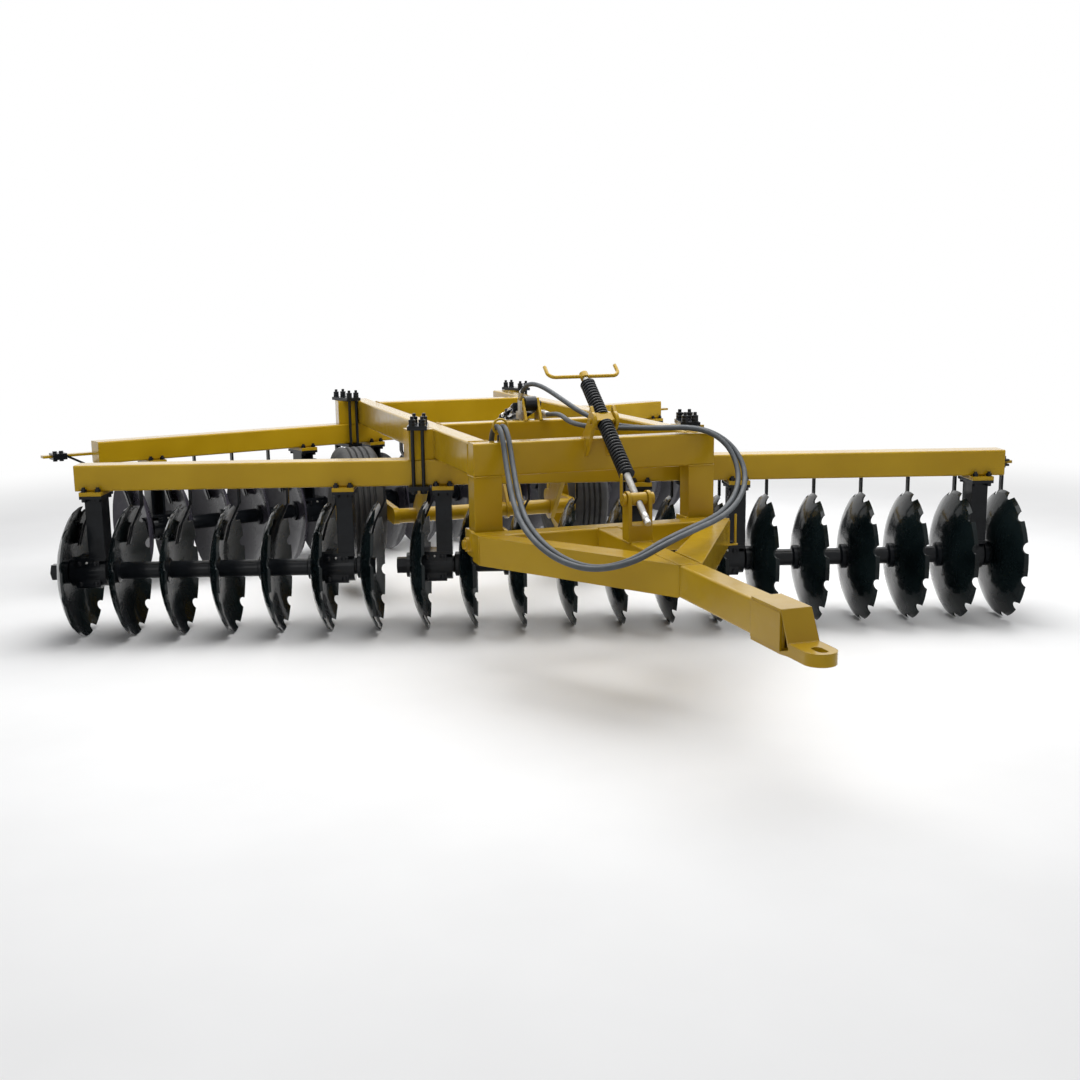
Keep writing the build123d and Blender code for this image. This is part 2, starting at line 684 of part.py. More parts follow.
with BuildPart() as clamp_bolts:
    for x, y, turn in CLAMPS:
        here = Plane(Location((x, y, 0), (0, 0, turn)))
        low = BEAM_Z - CLAMP_PLATE_T - CLAMP_NUT_H
        with BuildSketch(here.offset(low)):
            with Locations(*BOLT_SPOTS):
                Circle(CLAMP_BOLT_R)
        extrude(amount=RAIL_TOP + CLAMP_PLATE_T + CLAMP_BOLT_UP - low)
        for z in (low, RAIL_TOP + CLAMP_PLATE_T):
            with BuildSketch(here.offset(z)):
                with Locations(*BOLT_SPOTS):
                    RegularPolygon(CLAMP_NUT_AF / 2, 6, major_radius=False)
            extrude(amount=CLAMP_NUT_H)
save(clamp_bolts.part, "clamp_bolts")


# ---------------------------------------------------------------- drawbar
DRAW_Z = HINGE_Z - DRAW_H / 2
CROSS_BACK = HINGE_Y - HINGE_GAP
CROSS_FRONT = CROSS_BACK - DRAW_CROSS_D
EAR_OUT = HALF + EAR_GAP                       # inner face of the outer ears
EAR_IN = HALF - LEG_W - EAR_GAP                # outer face of the inner ears

with BuildPart() as drawbar_cross:
    with BuildSketch(side_plane(-EAR_OUT - EAR_T)):
        with Locations(((CROSS_FRONT + CROSS_BACK) / 2, HINGE_Z)):
            RectangleRounded(DRAW_CROSS_D, DRAW_H, TUBE_CORNER)
    extrude(amount=2 * (EAR_OUT + EAR_T))
save(drawbar_cross.part, "drawbar_cross_tube")

with BuildPart() as drawbar_ears:
    for sign in (-1, 1):
        for low in (sign * EAR_OUT - (EAR_T if sign < 0 else 0), sign * EAR_IN - (EAR_T if sign > 0 else 0)):
            with BuildSketch(side_plane(low)):
                with Locations(((CROSS_BACK + HINGE_Y) / 2, HINGE_Z)):
                    Rectangle(HINGE_GAP, 2 * LEG_FOOT_R)
                with Locations((HINGE_Y, HINGE_Z)):
                    Circle(LEG_FOOT_R)
            extrude(amount=EAR_T)
        middle = sign * (EAR_OUT + EAR_IN) / 2
        reach = (EAR_OUT - EAR_IN) / 2 + EAR_T
        with BuildSketch(side_plane(middle - reach - PIN_OUT)):
            with Locations((HINGE_Y, HINGE_Z)):
                Circle(HINGE_PIN_R)
        extrude(amount=2 * (reach + PIN_OUT))
        for low in (middle - reach - PIN_HEAD_T, middle + reach):
            with BuildSketch(side_plane(low)):
                with Locations((HINGE_Y, HINGE_Z)):
                    Circle(PIN_HEAD_R)
            extrude(amount=PIN_HEAD_T)
save(drawbar_ears.part, "drawbar_hinge_ears")

NOSE_Y = behind(-DRAW_NOSE)
for side, sign in (("left", -1), ("right", 1)):
    with BuildPart() as arm:
        with BuildSketch(Plane.XY.offset(DRAW_Z)):
            Polygon(
                (sign * (EAR_OUT + EAR_T), CROSS_FRONT),
                (sign * (EAR_OUT + EAR_T - ARM_FOOT), CROSS_FRONT),
                (sign * DRAW_W / 2, NOSE_Y + ARM_MERGE),
                (sign * DRAW_W / 2, NOSE_Y),
                align=None,
            )
        extrude(amount=DRAW_H)
    save(arm.part, f"drawbar_arm_{side}")

with BuildPart() as drawbar_spine:
    with BuildSketch(Plane.XZ.offset(-NOSE_Y)):
        with Locations((0, HINGE_Z)):
            RectangleRounded(DRAW_W, DRAW_H, TUBE_CORNER)
    extrude(amount=NOSE_Y - CROSS_FRONT)
save(drawbar_spine.part, "drawbar_spine")

TONGUE_Y = behind(-TONGUE_END)
with BuildPart() as tongue:
    with BuildSketch(Plane.XZ.offset(-TONGUE_Y)):
        with Locations((0, HINGE_Z)):
            RectangleRounded(DRAW_W, DRAW_H, TUBE_CORNER)
            Rectangle(DRAW_W - 2 * TONGUE_WALL, DRAW_H - 2 * TONGUE_WALL, mode=Mode.SUBTRACT)
    extrude(amount=TONGUE_Y - NOSE_Y)
save(tongue.part, "tongue")

# hitch: cheek and cover plates round the tongue's end, bent down and up to the slotted plates
WRAP_Y = TONGUE_Y + WRAP_L
RUN_Y = behind(-HITCH_RUN)
HITCH_Y = behind(-SLOT_Y)
TOP_Z = DRAW_Z + DRAW_H
with BuildPart() as hitch:
    with BuildSketch(side_plane(-HITCH_W / 2)):
        Polygon(
            (WRAP_Y, TOP_Z), (WRAP_Y, TOP_Z + WRAP_T), (TONGUE_Y, TOP_Z + WRAP_T),
            (RUN_Y, HITCH_Z), (HITCH_Y, HITCH_Z), (HITCH_Y, HITCH_Z - HITCH_T),
            (RUN_Y, HITCH_Z - HITCH_T), (TONGUE_Y, TOP_Z), align=None,
        )
        Polygon(
            (WRAP_Y, DRAW_Z), (WRAP_Y, DRAW_Z - WRAP_T), (TONGUE_Y, DRAW_Z - WRAP_T),
            (RUN_Y, HITCH_Z - 2 * HITCH_T), (HITCH_Y, HITCH_Z - 2 * HITCH_T),
            (HITCH_Y, HITCH_Z - HITCH_T), (RUN_Y, HITCH_Z - HITCH_T), (TONGUE_Y, DRAW_Z), align=None,
        )
    extrude(amount=HITCH_W)
    with BuildSketch(Plane.XY.offset(HITCH_Z - 2 * HITCH_T)):
        with Locations((0, HITCH_Y)):
            Circle(HITCH_W / 2)
    extrude(amount=2 * HITCH_T)
    with BuildSketch(Plane.XY.offset(HITCH_Z - 2 * HITCH_T)):
        with Locations((0, HITCH_Y)):
            SlotOverall(SLOT_L, SLOT_W, rotation=90)
    extrude(amount=2 * HITCH_T, mode=Mode.SUBTRACT)
save(hitch.part, "hitch_plates")

with BuildPart() as hitch_cheeks:
    for low in (-DRAW_W / 2 - WRAP_T, DRAW_W / 2):
        with BuildSketch(side_plane(low)):
            with Locations(((WRAP_Y + TONGUE_Y) / 2, HINGE_Z)):
                Rectangle(WRAP_L, DRAW_H)
        extrude(amount=WRAP_T)
save(hitch_cheeks.part, "hitch_cheeks")


# ---------------------------------------------------------------- levelling screw
TRUNNION_Y, TRUNNION_Z = behind(TRUNNION[0]), TRUNNION[1]
PIN_Y, PIN_Z = behind(SCREW_PIN[0]), SCREW_PIN[1]
SCREW_RUN = Vector(0, PIN_Y - TRUNNION_Y, PIN_Z - TRUNNION_Z).normalized()
# sketches on this plane lie square to the screw; its normal runs down the screw
screw_plane = Plane(origin=(0, TRUNNION_Y, TRUNNION_Z), x_dir=(1, 0, 0), z_dir=SCREW_RUN)

with BuildPart() as fork:
    for low in (-FORK_IN - FORK_T, FORK_IN):
        with BuildSketch(side_plane(low)):
            with Locations((PIN_Y, (TOP_Z + PIN_Z) / 2)):
                Rectangle(FORK_W, PIN_Z - TOP_Z)
            with Locations((PIN_Y, PIN_Z)):
                Circle(FORK_W / 2)
                Circle(NUT_R / 2 + PIN_GAP, mode=Mode.SUBTRACT)
        extrude(amount=FORK_T)
    with BuildSketch(Plane.XY.offset(TOP_Z)):
        with Locations((0, PIN_Y)):
            Rectangle(2 * FORK_IN, FORK_W)
    extrude(amount=FORK_BASE)
save(fork.part, "screw_fork")

with BuildPart() as screw_ears:
    for low in (-SCREW_EARS_IN - EAR_PLATE_T, SCREW_EARS_IN):
        with BuildSketch(side_plane(low)):
            Polygon(
                (FRONT, RAIL_TOP - SCREW_EAR_DROP), (FRONT, RAIL_TOP), (FRONT + SCREW_EAR_SEAT, RAIL_TOP),
                (TRUNNION_Y + SCREW_EAR_BOSS, TRUNNION_Z),
                (TRUNNION_Y + SCREW_EAR_TIP_R, TRUNNION_Z + SCREW_EAR_TIP),
                (TRUNNION_Y - SCREW_EAR_BOSS, TRUNNION_Z), align=None,
            )
            with Locations((TRUNNION_Y, TRUNNION_Z)):
                Circle(SCREW_EAR_BOSS)
                Circle(TRUNNION_R / 2 + PIN_GAP, mode=Mode.SUBTRACT)
        extrude(amount=EAR_PLATE_T)
save(screw_ears.part, "screw_ears")

with BuildPart() as trunnion:
    with BuildSketch(screw_plane.offset(-TRUNNION_R)):
        Rectangle(2 * SCREW_EARS_IN - 2 * EAR_GAP, 2 * TRUNNION_R)
    extrude(amount=2 * TRUNNION_R)
    with BuildSketch(side_plane(-SCREW_EARS_IN - EAR_PLATE_T - TRUNNION_END)):
        with Locations((TRUNNION_Y, TRUNNION_Z)):
            Circle(TRUNNION_R / 2)
    extrude(amount=2 * (SCREW_EARS_IN + EAR_PLATE_T + TRUNNION_END))
    with BuildSketch(screw_plane.offset(-TRUNNION_R)):
        Circle(SCREW_R)
    extrude(amount=2 * TRUNNION_R, mode=Mode.SUBTRACT)
save(trunnion.part, "screw_trunnion")

SCREW_END = CRANK_HUB_L - SCREW_BACK           # the rod ends against the crank's hub
with BuildPart() as screw:
    with BuildSketch(screw_plane.offset(SCREW_END)):
        Circle(SCREW_R)
    extrude(amount=SCREW_FRONT - SCREW_END)
save(screw.part, "levelling_screw")

CRANK_AT = screw_plane.offset(SCREW_END - CRANK_HUB_L / 2).origin
CRANK_ARM = Vector(CRANK_HALF - CRANK_R, 0, 0)
with BuildPart() as crank:
    with BuildSketch(screw_plane.offset(-SCREW_BACK)):
        Circle(CRANK_HUB_R)
    extrude(amount=CRANK_HUB_L)
    with BuildLine() as bar:
        FilletPolyline(
            CRANK_AT - CRANK_ARM - SCREW_RUN * CRANK_UP, CRANK_AT - CRANK_ARM,
            CRANK_AT + CRANK_ARM, CRANK_AT + CRANK_ARM - SCREW_RUN * CRANK_UP, radius=CRANK_BEND,
        )
    with BuildSketch(Plane(origin=bar.line @ 0, z_dir=bar.line % 0)):
        Circle(CRANK_R)
    sweep()
save(crank.part, "screw_crank")

with BuildPart() as springs:
    for start, span in ((-TRUNNION_R - SPRING_ABOVE, SPRING_ABOVE), (TRUNNION_R, SPRING_BELOW)):
        with BuildSketch(screw_plane.offset(start)):
            Circle(SPRING_R)
            Circle(SCREW_R, mode=Mode.SUBTRACT)
        extrude(amount=span)
save(springs.part, "screw_springs")

NUT_OUT = FORK_IN + FORK_T + EAR_GAP + NUT_COLLAR_T
with BuildPart() as screw_nut:
    with BuildSketch(side_plane(-FORK_IN + EAR_GAP)):
        with Locations((PIN_Y, PIN_Z)):
            Circle(NUT_R)
    extrude(amount=2 * (FORK_IN - EAR_GAP))
    with BuildSketch(side_plane(-NUT_OUT)):
        with Locations((PIN_Y, PIN_Z)):
            Circle(NUT_R / 2)
    extrude(amount=2 * NUT_OUT)
    for low in (-NUT_OUT, NUT_OUT - NUT_COLLAR_T):
        with BuildSketch(side_plane(low)):
            with Locations((PIN_Y, PIN_Z)):
                Circle(NUT_COLLAR_R)
        extrude(amount=NUT_COLLAR_T)
    with BuildSketch(side_plane(-NUT_OUT - HANDLE_T)):
        with Locations((PIN_Y, PIN_Z + HANDLE_L / 2)):
            SlotOverall(HANDLE_L + HANDLE_W, HANDLE_W, rotation=90)
    extrude(amount=HANDLE_T)
    with BuildSketch(Plane(origin=(0, PIN_Y, PIN_Z), x_dir=(1, 0, 0), z_dir=SCREW_RUN)):
        Circle(SCREW_R + NUT_GAP)
    extrude(amount=2 * NUT_R, both=True, mode=Mode.SUBTRACT)
save(screw_nut.part, "screw_nut")


# ---------------------------------------------------------------- transport axle
SHAFT_Y, SHAFT_Z = behind(SHAFT[0]), SHAFT[1]
WHEEL_Y = SHAFT_Y + ARM_L
ARM_X = SHAFT_HALF - ARM_T                     # inner face of an arm, from the axle's middle
WHEEL_X = SHAFT_HALF + WHEEL_GAP + TYRE_W / 2  # middle of a wheel

BRACKET_SIDE = BRACKET_R / sqrt(2)             # the plate's slanted sides run on into its round end

with BuildPart() as brackets:
    for sign in (-1, 1):
        low = AXLE_X + sign * BRACKET_HALF - BRACKET_T / 2
        with BuildSketch(side_plane(low)):
            Polygon(
                (behind(MIDDLE_BEAM), RAIL_Z), (behind(MIDDLE_BEAM + RAIL_W), RAIL_Z),
                (SHAFT_Y + BRACKET_SIDE, SHAFT_Z + BRACKET_SIDE),
                (SHAFT_Y - BRACKET_SIDE, SHAFT_Z - BRACKET_SIDE), align=None,
            )
            with Locations((SHAFT_Y, SHAFT_Z)):
                Circle(BRACKET_R)
                Circle(SHAFT_R + SHAFT_GAP, mode=Mode.SUBTRACT)
        extrude(amount=BRACKET_T)
save(brackets.part, "axle_brackets")

with BuildPart() as rock_shaft:
    with BuildSketch(side_plane(AXLE_X - SHAFT_HALF)):
        with Locations((SHAFT_Y, SHAFT_Z)):
            Circle(SHAFT_R)
    extrude(amount=2 * SHAFT_HALF)
save(rock_shaft.part, "rock_shaft")

with BuildPart() as wheel_arms:
    for sign in (-1, 1):
        with BuildSketch(side_plane(AXLE_X + (ARM_X if sign > 0 else -SHAFT_HALF))):
            with Locations(((SHAFT_Y + WHEEL_Y) / 2, SHAFT_Z)):
                SlotCenterToCenter(ARM_L, ARM_W)
            with Locations((SHAFT_Y, SHAFT_Z)):
                Circle(SHAFT_R, mode=Mode.SUBTRACT)
        extrude(amount=ARM_T)
        with BuildSketch(side_plane(AXLE_X + sign * SHAFT_HALF)):
            with Locations((WHEEL_Y, SHAFT_Z)):
                Circle(STUB_R)
        extrude(amount=sign * (WHEEL_GAP + TYRE_W / 2 + HUB_OUT + STUB_OUT))
save(wheel_arms.part, "wheel_arms")

LEVER_PIN_Y, LEVER_PIN_Z = behind(LEVER_PIN[0]), LEVER_PIN[1]
LEVER_ANGLE = degrees(atan2(LEVER_PIN_Z - SHAFT_Z, LEVER_PIN_Y - SHAFT_Y))
LEVER_L = hypot(LEVER_PIN_Z - SHAFT_Z, LEVER_PIN_Y - SHAFT_Y)
with BuildPart() as lift_lever:
    for low in (CYL_X - LEVER_IN - LEVER_T, CYL_X + LEVER_IN):
        with BuildSketch(side_plane(low)):
            with Locations(((LEVER_PIN_Y + SHAFT_Y) / 2, (LEVER_PIN_Z + SHAFT_Z) / 2)):
                SlotCenterToCenter(LEVER_L, LEVER_W, rotation=LEVER_ANGLE)
            with Locations((SHAFT_Y, SHAFT_Z)):
                Circle(SHAFT_R, mode=Mode.SUBTRACT)
        extrude(amount=LEVER_T)
    for start, step in ((CYL_X - LEVER_IN - LEVER_T, -1), (CYL_X + LEVER_IN + LEVER_T, 1)):
        with BuildSketch(side_plane(start)):
            with Locations((LEVER_PIN_Y, LEVER_PIN_Z)):
                Circle(CYL_PIN_R)
        extrude(amount=step * LEVER_PIN_OUT)
save(lift_lever.part, "lift_lever")


def tyre(x):
    """Ribbed implement tyre about the stub axle, its middle at this X."""
    half = TYRE_W / 2
    shoulder = TYRE_SHOULDER
    with BuildPart() as rubber:
        with BuildSketch(Plane(origin=(x, WHEEL_Y, SHAFT_Z), x_dir=(1, 0, 0), z_dir=(0, -1, 0))):
            with BuildLine():
                Polyline(
                    (-half + TYRE_BEAD, RIM_R), (-half, RIM_R + TYRE_WALL), (-half, WHEEL_R - shoulder),
                    (-half + shoulder, WHEEL_R), (half - shoulder, WHEEL_R),
                    (half, WHEEL_R - shoulder), (half, RIM_R + TYRE_WALL), (half - TYRE_BEAD, RIM_R),
                    close=True,
                )
            make_face()
            step = (TYRE_W - 2 * shoulder) / (GROOVES + 1)
            with Locations(*[(-half + shoulder + step * (k + 1), WHEEL_R) for k in range(GROOVES)]):
                Rectangle(GROOVE_W, 2 * GROOVE_D, mode=Mode.SUBTRACT)
        revolve(axis=Axis((x, WHEEL_Y, SHAFT_Z), (1, 0, 0)))
    return rubber.part


def rim(x, sign):
    """Dished rim with its hub; the disc stands to the outer side."""
    half = TYRE_W / 2 - TYRE_BEAD
    well = RIM_R - RIM_WELL
    bore = STUB_R + PIN_GAP
    with BuildPart() as steel:
        with BuildSketch(Plane(origin=(x, WHEEL_Y, SHAFT_Z), x_dir=(sign, 0, 0), z_dir=(0, -sign, 0))):
            with BuildLine():
                Polyline(
                    (-TYRE_W / 2, bore), (-TYRE_W / 2, HUB_R), (RIM_DISH, HUB_R),
                    (RIM_DISH, RIM_R - RIM_SLOPE), (0, well - RIM_WALL), (-half, well - RIM_WALL),
                    (-half, RIM_R), (-half + RIM_WALL, RIM_R), (-half + RIM_WALL, well),
                    (half - RIM_WALL, well), (half - RIM_WALL, RIM_R), (half, RIM_R),
                    (half, well - RIM_WALL), (RIM_DISH, well - RIM_WALL),
                    (RIM_DISH + RIM_WALL, RIM_R - RIM_SLOPE), (RIM_DISH + RIM_WALL, HUB_R),
                    (HUB_OUT, HUB_R), (HUB_OUT, bore), close=True,
                )
            make_face()
        revolve(axis=Axis((x, WHEEL_Y, SHAFT_Z), (1, 0, 0)))
    return steel.part


for side, sign in (("left", -1), ("right", 1)):
    wheel_tyre = tyre(AXLE_X + sign * WHEEL_X)
    save(wheel_tyre, f"tyre_{side}")
    wheel_rim = rim(AXLE_X + sign * WHEEL_X, sign)
    save(wheel_rim, f"rim_{side}")


# ---------------------------------------------------------------- lift cylinder
CYL_Y, CYL_Z = behind(CYL_PIN[0]), CYL_PIN[1]
CYL_RUN = Vector(0, LEVER_PIN_Y - CYL_Y, LEVER_PIN_Z - CYL_Z)
CYL_CLOSED = CYL_RUN.length                    # eye to eye, wheels raised
CYL_RUN = CYL_RUN.normalized()
cyl_plane = Plane(origin=(CYL_X, CYL_Y, CYL_Z), x_dir=(1, 0, 0), z_dir=CYL_RUN)

with BuildPart() as cylinder_ears:
    for low in (CYL_X - CYL_EAR_IN - CYL_EAR_T, CYL_X + CYL_EAR_IN):
        with BuildSketch(side_plane(low)):
            Polygon(
                (behind(MIDDLE_BEAM), RAIL_TOP), (behind(MIDDLE_BEAM + RAIL_W), RAIL_TOP),
                (CYL_Y + CYL_EAR_SIDE, CYL_Z), (CYL_Y + CYL_EAR_FLAT, CYL_Z + CYL_EAR_TOP),
                (CYL_Y - CYL_EAR_FLAT, CYL_Z + CYL_EAR_TOP), (CYL_Y - CYL_EAR_SIDE, CYL_Z), align=None,
            )
            with Locations((CYL_Y, CYL_Z)):
                Circle(CYL_PIN_R + PIN_GAP, mode=Mode.SUBTRACT)
        extrude(amount=CYL_EAR_T)
save(cylinder_ears.part, "cylinder_ears")

PIPE_X = -CYL_R - PIPE_R                       # pipes beside the barrel, on its left
with BuildPart() as barrel:
    with BuildSketch(side_plane(CYL_X - CYL_EAR_IN + EAR_GAP)):
        with Locations((CYL_Y, CYL_Z)):
            Circle(EYE_R)
    extrude(amount=2 * (CYL_EAR_IN - EAR_GAP))
    with BuildSketch(side_plane(CYL_X - CYL_EAR_IN - CYL_EAR_T - CYL_PIN_OUT)):
        with Locations((CYL_Y, CYL_Z)):
            Circle(CYL_PIN_R)
    extrude(amount=2 * (CYL_EAR_IN + CYL_EAR_T + CYL_PIN_OUT))
    with BuildSketch(cyl_plane):
        Rectangle(2 * (CYL_EAR_IN - EAR_GAP), 2 * EYE_R)
    extrude(amount=CYL_START)
    with BuildSketch(cyl_plane.offset(CYL_START)):
        Circle(CYL_R)
    extrude(amount=CYL_L - CYL_START)
    with BuildSketch(cyl_plane.offset(PIPE_START)):
        with Locations(*[(PIPE_X, off) for off in (-PIPE_OFF, PIPE_OFF)]):
            Circle(PIPE_R)
    extrude(amount=min(PIPE_ENDS) - PIPE_START)
    with BuildSketch(cyl_plane.offset(min(PIPE_ENDS))):
        with Locations((PIPE_X, PIPE_OFF)):
            Circle(PIPE_R)
    extrude(amount=max(PIPE_ENDS) - min(PIPE_ENDS))
    for distance, off in ((PIPE_START, -PIPE_OFF), (PIPE_START, PIPE_OFF),
                          (PIPE_ENDS[0], PIPE_OFF), (PIPE_ENDS[1], -PIPE_OFF)):
        with BuildSketch(cyl_plane.offset(distance - PORT_L / 2)):
            with Locations((PIPE_X / 2, off)):
                Rectangle(-PIPE_X, 2 * PORT_R)
            with Locations((PIPE_X, off)):
                Circle(PORT_R)
        extrude(amount=PORT_L)
    with BuildSketch(cyl_plane.offset(CYL_START + CYL_BOTTOM)):
        Circle(ROD_R + PIN_GAP)
    extrude(amount=CYL_L, mode=Mode.SUBTRACT)
save(barrel.part, "cylinder_barrel")

with BuildPart() as rod:
    with BuildSketch(cyl_plane.offset(CYL_START + CYL_BOTTOM + PISTON_GAP)):
        Circle(ROD_R)
    extrude(amount=CYL_CLOSED - CYL_START - CYL_BOTTOM - PISTON_GAP)
    with BuildSketch(side_plane(CYL_X - EYE_W / 2)):
        with Locations((LEVER_PIN_Y, LEVER_PIN_Z)):
            Circle(EYE_R)
    extrude(amount=EYE_W)
    with BuildSketch(side_plane(CYL_X - EYE_W / 2)):
        with Locations((LEVER_PIN_Y, LEVER_PIN_Z)):
            Circle(CYL_PIN_R + PIN_GAP)
    extrude(amount=EYE_W, mode=Mode.SUBTRACT)
save(rod.part, "cylinder_rod")


# ---------------------------------------------------------------- hoses
def hose_points(route):
    return [Vector(x, behind(distance), z) for x, distance, z in route]


def bend_radii(points):
    """Radius at each inner point, from the shorter of its two runs and half its turn."""
    radii = []
    for before, here, after in zip(points, points[1:], points[2:]):
        a, b = here - before, after - here
        radii.append(BEND_SHARE * min(a.length, b.length) / tan(radians(a.get_angle(b)) / 2))
    return radii


for name, route in (("hose_1", HOSE_1), ("hose_2", HOSE_2)):
    points = hose_points(route)
    radii = bend_radii(points)
    with BuildPart() as hose:
        with BuildLine() as line:
            FilletPolyline(*points, radius=radii)
        with BuildSketch(Plane(origin=points[0], z_dir=points[1] - points[0])):
            Circle(HOSE_R)
        sweep()
    length = sum(edge.length for edge in line.edges())
    print(name, "radii", [round(radius) for radius in radii], "length", round(length),
          "volume over section x length", round(hose.part.volume / (pi * HOSE_R**2 * length), 4))
    save(hose.part, name)

with BuildPart() as hose_ring:
    with Locations(Location((RING[0], behind(RING[1]), RING[2]), (90, 0, 0))):
        Torus(RING_R + RING_WIRE_R, RING_WIRE_R)
    with BuildSketch(Plane.XY.offset(RAIL_TOP)):
        with Locations((RING[0], behind(RING[1]))):
            Circle(RING_WIRE_R)
    extrude(amount=RING[2] - RING_R - RING_WIRE_R - RAIL_TOP)
save(hose_ring.part, "hose_ring")

# a block with a ferrule on each cylinder ear, and a coupler at the loose end of each hose
EAR_LEFT = CYL_X - CYL_EAR_IN - CYL_EAR_T
EAR_RIGHT = CYL_X + CYL_EAR_IN + CYL_EAR_T
FITTING_Y, FITTING_Z = behind(FITTING_AT[0]), FITTING_AT[1]
elbow_end, ferrule_end = hose_points(HOSE_1)[0], hose_points(HOSE_2)[0]
elbow_rise = (hose_points(HOSE_1)[1] - elbow_end).normalized()
elbow_corner = elbow_end - elbow_rise * HOSE_R * 2
with BuildPart() as couplers:
    for low in (EAR_LEFT - FITTING_DEPTH, EAR_RIGHT):
        with BuildSketch(side_plane(low)):
            with Locations((FITTING_Y, FITTING_Z)):
                Rectangle(FITTING_SIDE, FITTING_SIDE)
        extrude(amount=FITTING_DEPTH)
    with BuildLine() as elbow:
        FilletPolyline(
            (EAR_LEFT - FITTING_OUT, elbow_corner.Y, FITTING_Z), elbow_corner, elbow_end, radius=ELBOW_R
        )
    with BuildSketch(Plane(origin=elbow.line @ 0, z_dir=elbow.line % 0)):
        Circle(HOSE_R)
    sweep()
    with BuildSketch(Plane.XZ.offset(-ferrule_end.Y)):
        with Locations((EAR_RIGHT + FITTING_OUT, ferrule_end.Z)):
            Circle(HOSE_R)
    extrude(amount=ferrule_end.Y - FITTING_Y)
    for route in (HOSE_1, HOSE_2):
        top = hose_points(route)[-1]
        z = top.Z
        for radius, length in COUPLER:
            with BuildSketch(Plane.XY.offset(z)):
                with Locations((top.X, top.Y)):
                    Circle(radius)
            extrude(amount=-length)
            z -= length
save(couplers.part, "couplers")
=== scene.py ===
# %% [markdown]
# # Disc harrow
# A towed offset disc harrow: a V of two disc gangs under a yellow frame, an A-shaped drawbar in
# front, and a pair of transport wheels that are raised while the discs rest on the ground.
# The construction comes in as a fixed frame. This lesson dresses it: it gives every piece its
# finish, and it models by hand what the frame only blocks out, such as springs, bolts and hoses.

# %% Load the frame
import json
from math import cos, pi, radians, sin

import bpy
from mathutils import Euler, Matrix, Quaternion, Vector


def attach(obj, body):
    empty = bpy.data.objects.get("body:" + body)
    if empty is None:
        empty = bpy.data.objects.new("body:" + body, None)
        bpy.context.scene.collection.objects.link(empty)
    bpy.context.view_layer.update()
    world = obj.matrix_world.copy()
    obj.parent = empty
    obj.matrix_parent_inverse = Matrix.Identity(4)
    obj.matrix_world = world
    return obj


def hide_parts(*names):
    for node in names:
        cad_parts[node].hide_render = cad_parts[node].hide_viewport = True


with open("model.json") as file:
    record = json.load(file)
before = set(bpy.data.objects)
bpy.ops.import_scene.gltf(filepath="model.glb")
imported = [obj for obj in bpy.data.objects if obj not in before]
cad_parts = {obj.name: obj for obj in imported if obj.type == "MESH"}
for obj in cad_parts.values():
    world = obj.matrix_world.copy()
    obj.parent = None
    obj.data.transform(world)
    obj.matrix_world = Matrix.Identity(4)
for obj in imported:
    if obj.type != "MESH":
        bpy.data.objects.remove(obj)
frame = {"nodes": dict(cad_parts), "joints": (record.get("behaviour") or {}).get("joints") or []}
scene = bpy.context.scene
nodes = frame["nodes"]
joints = {joint["name"]: joint for joint in frame["joints"]}
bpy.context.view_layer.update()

# %% [markdown]
# ## Camera
# Somebody stands in front of the machine, a little to the left of the drawbar, and looks slightly
# down on it. A camera could be aimed with a Track To constraint, but then its roll can't be set.
# Three angles say everything: how far it turns to the right, how far it nods, how far it leans.

# %% Place the camera
CAMERA_PLACE = (-1.813, -5.926, 1.505)
CAMERA_RIGHT = radians(18.11)
CAMERA_DOWN = radians(10.58)
CAMERA_LEAN = radians(-0.73)
CAMERA_LENS = 41.85

bpy.ops.object.select_all(action="DESELECT")
bpy.ops.object.camera_add(location=CAMERA_PLACE)
camera = bpy.context.object
turned = Euler((pi / 2 - CAMERA_DOWN, 0, -CAMERA_RIGHT)).to_quaternion()
camera.rotation_euler = (turned @ Quaternion((0, 0, 1), CAMERA_LEAN)).to_euler()
camera.data.lens = CAMERA_LENS
camera.data.clip_end = 60
scene.camera = camera
print("camera", [round(v, 3) for v in camera.location])

# %% [markdown]
# ## Room and light
# Glossy paint shows what stands around it, so the room matters as much as the lamps. A pale
# world gives soft light from everywhere, and a large lamp above gives the white sheen along the
# tops of the tubes. The background that the camera sees is white without lighting the machine
# more: the Light Path node lets camera, mirror and glass rays see white, while all other rays
# meet a dimmer grey.

# %% World
WORLD_LEVEL = 0.31


def seen_rays(tree):
    """A socket that is 1 for camera, mirror and glass rays, and 0 for all others."""
    path = tree.nodes.new("ShaderNodeLightPath")
    rays = path.outputs["Is Camera Ray"]
    for kind in ("Is Glossy Ray", "Is Transmission Ray"):
        either = tree.nodes.new("ShaderNodeMath")
        either.operation = "MAXIMUM"
        tree.links.new(rays, either.inputs[0])
        tree.links.new(path.outputs[kind], either.inputs[1])
        rays = either.outputs[0]
    return rays


scene.view_settings.view_transform = "Standard"

world = bpy.data.worlds.new("studio")
world.use_nodes = True
scene.world = world
tree = world.node_tree
tree.nodes.clear()
seen = tree.nodes.new("ShaderNodeBackground")
seen.inputs["Color"].default_value = (1, 1, 1, 1)
seen.inputs["Strength"].default_value = 1
lit = tree.nodes.new("ShaderNodeBackground")
lit.inputs["Color"].default_value = (0.97, 0.98, 1, 1)
lit.inputs["Strength"].default_value = WORLD_LEVEL
mix = tree.nodes.new("ShaderNodeMixShader")
tree.links.new(seen_rays(tree), mix.inputs["Fac"])
tree.links.new(lit.outputs["Background"], mix.inputs[1])
tree.links.new(seen.outputs["Background"], mix.inputs[2])
world_out = tree.nodes.new("ShaderNodeOutputWorld")
tree.links.new(mix.outputs["Shader"], world_out.inputs["Surface"])

